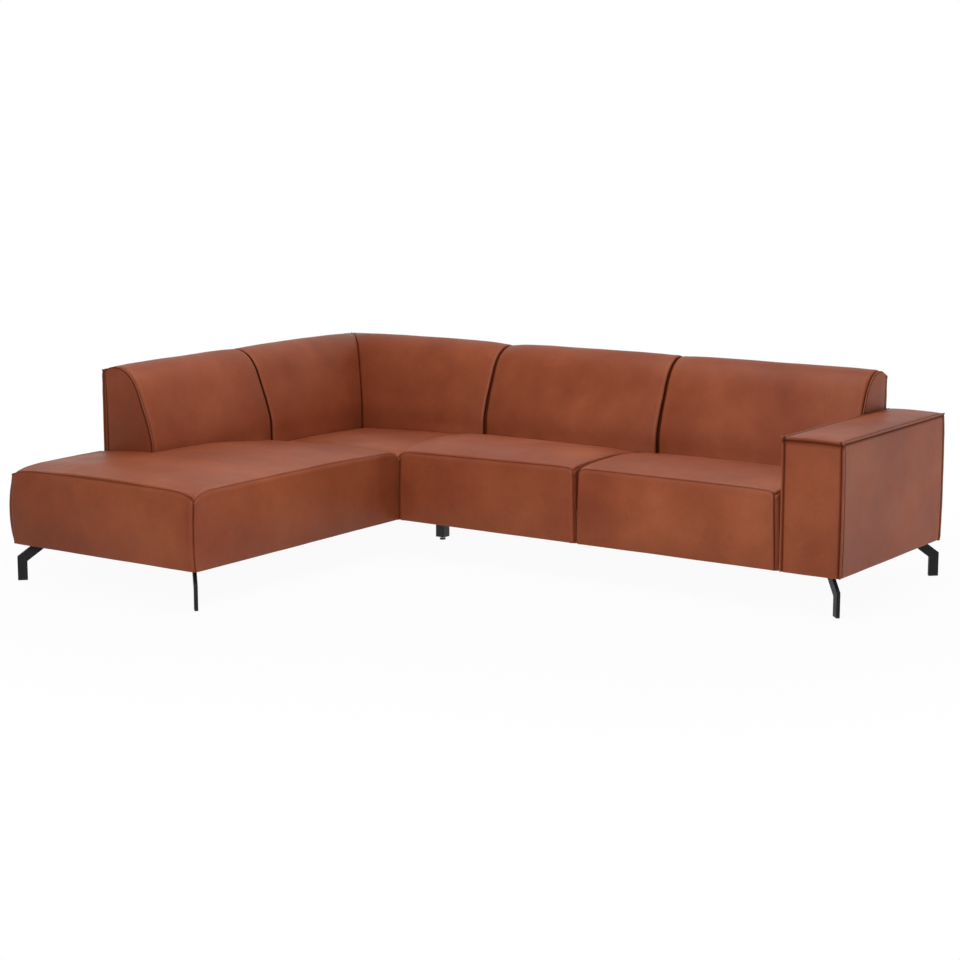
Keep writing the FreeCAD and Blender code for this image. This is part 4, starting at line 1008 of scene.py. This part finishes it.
def end_panel(name, side, outer, inner, replaced, seed, rise=0.0):
    """The padded end of a back, cut to its section, with a raised seam round it."""
    heading = 1.0 if outer > inner else -1.0

    def shape(share_out, share_in, share_up):
        face = BACK_FACE.at(share_up)
        face.y += crest_at(share_up, 0.0, CREST_AT_SEAM, rise) - 0.003 * share_out
        rear = Vector((INSIDE, DECK + share_up * (REAR_TOP + 0.5 * rise - DECK)))
        spot = face.lerp(rear, share_in)
        padding = 0.003 * arch(share_in) ** 0.7 * arch(share_up) ** 0.5 * share_out
        return side(inner + (outer - inner) * share_out + heading * padding, spot.x, spot.y)

    bm = block(UNIT_SPANS, (2, 16, 62), closer=(0.0, 0.6, 0.55))
    seams = {"ridge": (("right", "front"), ("right", "rear"), ("right", "top"))}
    back_dressed(name, bm, (RIM, BACK_DEPTH, BACK_RUN), shape, replaced, seams, seed)


def make_end_panels():
    arm_side = ARM - SOFT_GAP
    end_panel("wing_back_end", at_left, OPEN_END, OPEN_END + RIM, "wing_back_end_panel", 11.0)
    end_panel("right_back_end", at_rear, arm_side, arm_side - RIM, "right_back_end_panel", 12.0, RISE)


def make_outer_panels():
    """Padded leather on the outer side and the rear."""
    top = BACK_TOP - 0.002

    def outer(name, side, start, end, replaced, seed):
        thick = INSIDE - SOFT_GAP
        spans = ((start, end), (0.0, thick), (0.0, 1.0))

        def shape(along, inwards, share):
            fullness = full(along - start) * full(end - along)
            swell = REAR_BULGE * arch(share) ** 0.8 * fullness * (1 - inwards / thick)
            return side(along, inwards - swell, HEM + share * (top - HEM))

        bm = block(spans, (int((end - start) * 45) + 12, 2, 34), closer=(CLOSER, 0.0, CLOSER))
        seams = {
            "ridge": (("front", "top"), ("front", "left"), ("front", "right")),
            "fold": (("front", "under"),),
        }
        piece = leather_piece(name, bm, spans, top - HEM, shape, seams, seed=seed)
        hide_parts(replaced)
        refined(piece)

    outer("left_outer", at_left, OPEN_END + SOFT_GAP, DEPTH - INSIDE, "left_outer_panel", 13.0)
    outer("corner_rear", at_rear, 0.0, WING - SEAM_GAP, "corner_rear_panel", 14.0)
    outer("long_rear", at_rear, WING + SEAM_GAP, ARM - SOFT_GAP, "long_rear_panel", 15.0)


def make_arm():
    front = FRONT + RIM + SOFT_GAP
    rear = DEPTH - RIM - SOFT_GAP
    spans = ((ARM, LENGTH), (front, rear), (0.0, 1.0))

    def shape(x, y, share):
        fullness = full(y - front) * full(rear - y)
        across = (x - ARM) / (LENGTH - ARM)
        top = ARM_TOP + ARM_CROWN * arch(across) * (0.4 + 0.6 * fullness)
        x += ARM_BULGE * (0.3 + 0.7 * arch(share) ** 0.8) * (0.8 + 0.2 * fullness) * across**6
        return Vector((x, y, HEM + share * (top - HEM)))

    bm = block(spans, (22, 54, 36))
    top_seams = (("left", "top"), ("right", "top"))
    seams = {
        "ridge": (*top_seams, ("right", "front"), ("right", "rear"), ("front", "top")),
        "fold": (("right", "under"), ("left", "under")),
    }
    piece = leather_piece("arm", bm, spans, ARM_TOP - HEM, shape, seams, seed=16.0)
    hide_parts("arm_cover")
    refined(piece)
    ears = ((("front", "left", "top"), 0.003), (("front", "right", "top"), 0.003))
    for name, side, replaced, seed in (
        ("arm_front_panel", at_long_front, "arm_front_border", 17.0),
        ("arm_rear_panel", at_rear, "arm_rear_border", 18.0),
    ):
        border(
            name,
            side,
            ARM,
            LENGTH,
            lambda along: ARM_TOP + 0.4 * ARM_CROWN * arch((along - ARM) / (LENGTH - ARM)),
            ARM_BULGE,
            replaced,
            ears=ears,
            seed=seed,
        )


FOAM_EDGE = 0.002


def make_foam_slabs():
    """Foam on the webbing, under the seat covers: cut blocks with eased edges."""
    room = 0.019
    top = FOAM_TOP - SOFT_GAP
    slabs = (
        ("wing_front_foam", room, WING - room, room, OPEN_END - room),
        ("wing_rear_foam", BACK + room, WING - room, OPEN_END - room, FRONT - room),
        ("corner_foam", BACK + room, WING - room, FRONT + room, BACK_LINE - room),
        ("middle_foam", WING + room, SPLIT - room, FRONT + room, BACK_LINE - room),
        ("right_foam", SPLIT + room, ARM - room - ARM_GAP, FRONT + room, BACK_LINE - room),
    )
    for name, left, right, front, rear in slabs:
        spans = ((left, right), (front, rear), (DECK, top))
        bm = block(spans, (12, 12, 4))
        rims = []
        for edge in bm.edges:
            if len(edge.link_faces) == 2 and edge.calc_face_angle(0.0) > 1.0:
                rims.append(edge)
        bmesh.ops.bevel(
            bm, geom=rims, offset=FOAM_EDGE, segments=2, affect="EDGES", profile=0.5, material=-1
        )
        bmesh.ops.recalc_face_normals(bm, faces=bm.faces[:])
        piece = finished(name, bm, foam)
        replaced = "long_module_seat_foam" if left > WING else "corner_module_seat_foam"
        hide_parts(replaced)


# The cloth under the modules: the size of its mesh, the distance it needs to sag beside a cut-out,
# how far it sags, and its thickness
CLOTH_CELL = 0.03
CUT_REACH = 0.05
CLOTH_SLACK = 0.0022
CLOTH_THICKNESS = 0.0005

# Where it is cut out round the legs, the feet and the connectors: left, right, front and rear
CORNER_CUTS = (
    (0.0183, 0.1498, 0.0183, 0.1498),
    (0.7852, 0.9167, 0.0183, 0.1498),
    (0.8764, 0.9167, 1.3527, 1.4333),
    (0.8764, 0.9167, 1.9167, 1.9973),
    (0.8824, 0.9167, 1.5782, 1.6218),
    (0.8824, 0.9167, 2.0532, 2.0968),
    (0.0183, 0.0526, 2.0532, 2.0968),
)
LONG_CUTS = (
    (0.9548, 0.9951, 1.3527, 1.4333),
    (0.9548, 0.9951, 1.9167, 1.9973),
    (2.7822, 2.9137, 1.2613, 1.3928),
    (2.7822, 2.9137, 1.9872, 2.1187),
)


def dust_cover(name, left, right, front, rear, cuts):
    """Cloth stapled under the rails, a little slack between them."""
    bm = bmesh.new()
    across = int((right - left) / CLOTH_CELL)
    along = int((rear - front) / CLOTH_CELL)
    bmesh.ops.create_grid(bm, x_segments=across, y_segments=along, size=0.5)
    for vert in bm.verts:
        vert.co.x = left + (vert.co.x + 0.5) * (right - left)
        vert.co.y = front + (vert.co.y + 0.5) * (rear - front)
    for low_x, high_x, low_y, high_y in cuts:
        for axis, place in ((0, low_x), (0, high_x), (1, low_y), (1, high_y)):
            cut_across(bm, axis, place, snap=1e-5)
    gone = []
    for face in bm.faces:
        spot = face.calc_center_median()
        for low_x, high_x, low_y, high_y in cuts:
            if low_x < spot.x < high_x and low_y < spot.y < high_y:
                gone.append(face)
                break
    bmesh.ops.delete(bm, geom=gone, context="FACES")
    for vert in bm.verts:
        x, y = vert.co.x, vert.co.y
        slack = full(x - left) * full(right - x) * full(y - front) * full(rear - y)
        for low_x, high_x, low_y, high_y in cuts:
            aside = math.hypot(max(low_x - x, 0.0, x - high_x), max(low_y - y, 0.0, y - high_y))
            slack *= 1 - math.exp(-((aside / CUT_REACH) ** 2))
        ripple = 0.7 + 0.6 * noise.noise(Vector((x * 6, y * 6, left)))
        vert.co.z = DUST_LEVEL - CLOTH_SLACK * slack * ripple
    bmesh.ops.recalc_face_normals(bm, faces=bm.faces[:])
    area = sum(face.calc_area() for face in bm.faces)
    bmesh.ops.solidify(bm, geom=bm.faces[:], thickness=CLOTH_THICKNESS)
    piece = finished(name, bm, dust_cloth)
    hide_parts("dust_covers")


def make_dust_covers():
    right = WING - INSIDE
    rear = DEPTH - INSIDE
    dust_cover("corner_dust_cover", INSIDE, right, INSIDE, rear, CORNER_CUTS)
    left = WING + SEAM_GAP + INSIDE
    right = LENGTH - INSIDE
    dust_cover("long_dust_cover", left, right, FRONT + INSIDE, rear, LONG_CUTS)


# The stage

# The floor's shadow fades between these distances, as its white takes over by these shares
SHADOW_FADE = (1.2, 3.0)
WHITE_SHARES = (0.95, 1.0)

# How bright the surroundings are, and where between front and rear reflections see them turn white
AMBIENT = 0.20
WHITE_FROM = (-0.4, 0.4)

AIM = Vector((0.0, 0.0, 0.35))


def either_ray(tree, *kinds):
    """One for the kinds of ray named, and nothing for others."""
    path = node(tree, "ShaderNodeLightPath")
    total = path.outputs[kinds[0]]
    for kind in kinds[1:]:
        added = node(tree, "ShaderNodeMath", operation="MAXIMUM")
        tree.links.new(total, added.inputs[0])
        tree.links.new(path.outputs[kind], added.inputs[1])
        total = added.outputs[0]
    return total


def make_floor():
    """A floor that looks white, keeps a light shadow near the sofa and runs out into pure white."""
    bm = bmesh.new()
    bmesh.ops.create_grid(bm, x_segments=2, y_segments=2, size=40.0)
    mesh = bpy.data.meshes.new("floor")
    bm.to_mesh(mesh)
    bm.free()
    floor = bpy.data.objects.new("floor", mesh)
    bpy.context.scene.collection.objects.link(floor)
    floor.location.z = -0.0005
    made, tree, shader = material("pale_floor", grey(0.50), 0.9)
    mesh.materials.append(made)
    place = node(tree, "ShaderNodeTexCoord").outputs["Object"]
    distance = node(tree, "ShaderNodeVectorMath", operation="LENGTH")
    tree.links.new(place, distance.inputs[0])
    spread = eased(tree, distance.outputs["Value"], SHADOW_FADE, WHITE_SHARES, "SMOOTHSTEP")
    seen = either_ray(tree, "Is Camera Ray", "Is Glossy Ray", "Is Transmission Ray")
    share = node(tree, "ShaderNodeMath", operation="MULTIPLY")
    tree.links.new(spread, share.inputs[0])
    tree.links.new(seen, share.inputs[1])
    white = node(tree, "ShaderNodeEmission", {"Color": grey(1.0), "Strength": 1.0})
    both = node(tree, "ShaderNodeMixShader")
    tree.links.new(share.outputs[0], both.inputs[0])
    tree.links.new(shader.outputs[0], both.inputs[1])
    tree.links.new(white.outputs[0], both.inputs[2])
    tree.links.new(both.outputs[0], tree.nodes["Material Output"].inputs["Surface"])


def make_world():
    """Soft light from all round, white to the camera; reflections see it white only at the back."""
    world = bpy.data.worlds.new("studio")
    bpy.context.scene.world = world
    world.use_nodes = True
    tree = world.node_tree
    ambient = tree.nodes["Background"]
    ambient.inputs["Color"].default_value = grey(1.0)
    ambient.inputs["Strength"].default_value = AMBIENT
    seen = node(tree, "ShaderNodeBackground", {"Color": grey(1.0), "Strength": 1.0})
    direction = node(tree, "ShaderNodeTexCoord").outputs["Generated"]
    parts = node(tree, "ShaderNodeSeparateXYZ")
    tree.links.new(direction, parts.inputs[0])
    behind = eased(tree, parts.outputs["Y"], WHITE_FROM, (AMBIENT, 1.0))
    mirrored = node(tree, "ShaderNodeBackground", {"Color": grey(1.0)})
    tree.links.new(behind, mirrored.inputs["Strength"])
    by_glossy = node(tree, "ShaderNodeMixShader")
    tree.links.new(either_ray(tree, "Is Glossy Ray"), by_glossy.inputs[0])
    tree.links.new(ambient.outputs[0], by_glossy.inputs[1])
    tree.links.new(mirrored.outputs[0], by_glossy.inputs[2])
    by_camera = node(tree, "ShaderNodeMixShader")
    tree.links.new(either_ray(tree, "Is Camera Ray", "Is Transmission Ray"), by_camera.inputs[0])
    tree.links.new(by_glossy.outputs[0], by_camera.inputs[1])
    tree.links.new(seen.outputs[0], by_camera.inputs[2])
    tree.links.new(by_camera.outputs[0], tree.nodes["World Output"].inputs["Surface"])


def make_lamps():
    """Square lamps, all turned towards the sofa: name, place, size and power of each."""
    for name, place, size, power in (
        ("overhead", (0.2, 0.0, 3.3), 2.6, 80.0),
        ("key", (1.4, -3.6, 2.1), 1.8, 128.0),
        ("fill", (-2.2, -4.4, 2.4), 2.4, 12.0),
        ("side", (4.4, 1.9, 0.4), 0.9, 66.0),
    ):
        lamp = bpy.data.lights.new(name, "AREA")
        lamp.shape = "SQUARE"
        lamp.size = size
        lamp.energy = power
        light = bpy.data.objects.new(name, lamp)
        light.location = place
        towards = AIM - Vector(place)
        light.rotation_euler = towards.to_track_quat("-Z", "Y").to_euler()
        bpy.context.scene.collection.objects.link(light)


def make_camera():
    """The photograph's viewpoint: a short telephoto from the front right."""
    lens = bpy.data.cameras.new("photo_view")
    lens.lens = 85.36
    lens.sensor_width = 36.0
    lens.shift_x = -0.0019
    lens.shift_y = -0.0095
    lens.clip_end = 100.0
    camera = bpy.data.objects.new("photo_view", lens)
    camera.location = (5.0005, -7.1921, 1.9431)
    camera.rotation_euler = (math.radians(90 - 9.819), 0.0, math.radians(34.71))
    bpy.context.scene.collection.objects.link(camera)
    bpy.context.scene.camera = camera


dress_frame()
make_wing_seat()
make_wing_front()
make_corner_seat()
make_long_seats()
make_backs()
make_end_panels()
make_outer_panels()
make_arm()
make_foam_slabs()
make_dust_covers()
make_floor()
make_world()
make_lamps()
make_camera()
bpy.context.scene.view_settings.view_transform = "Standard"
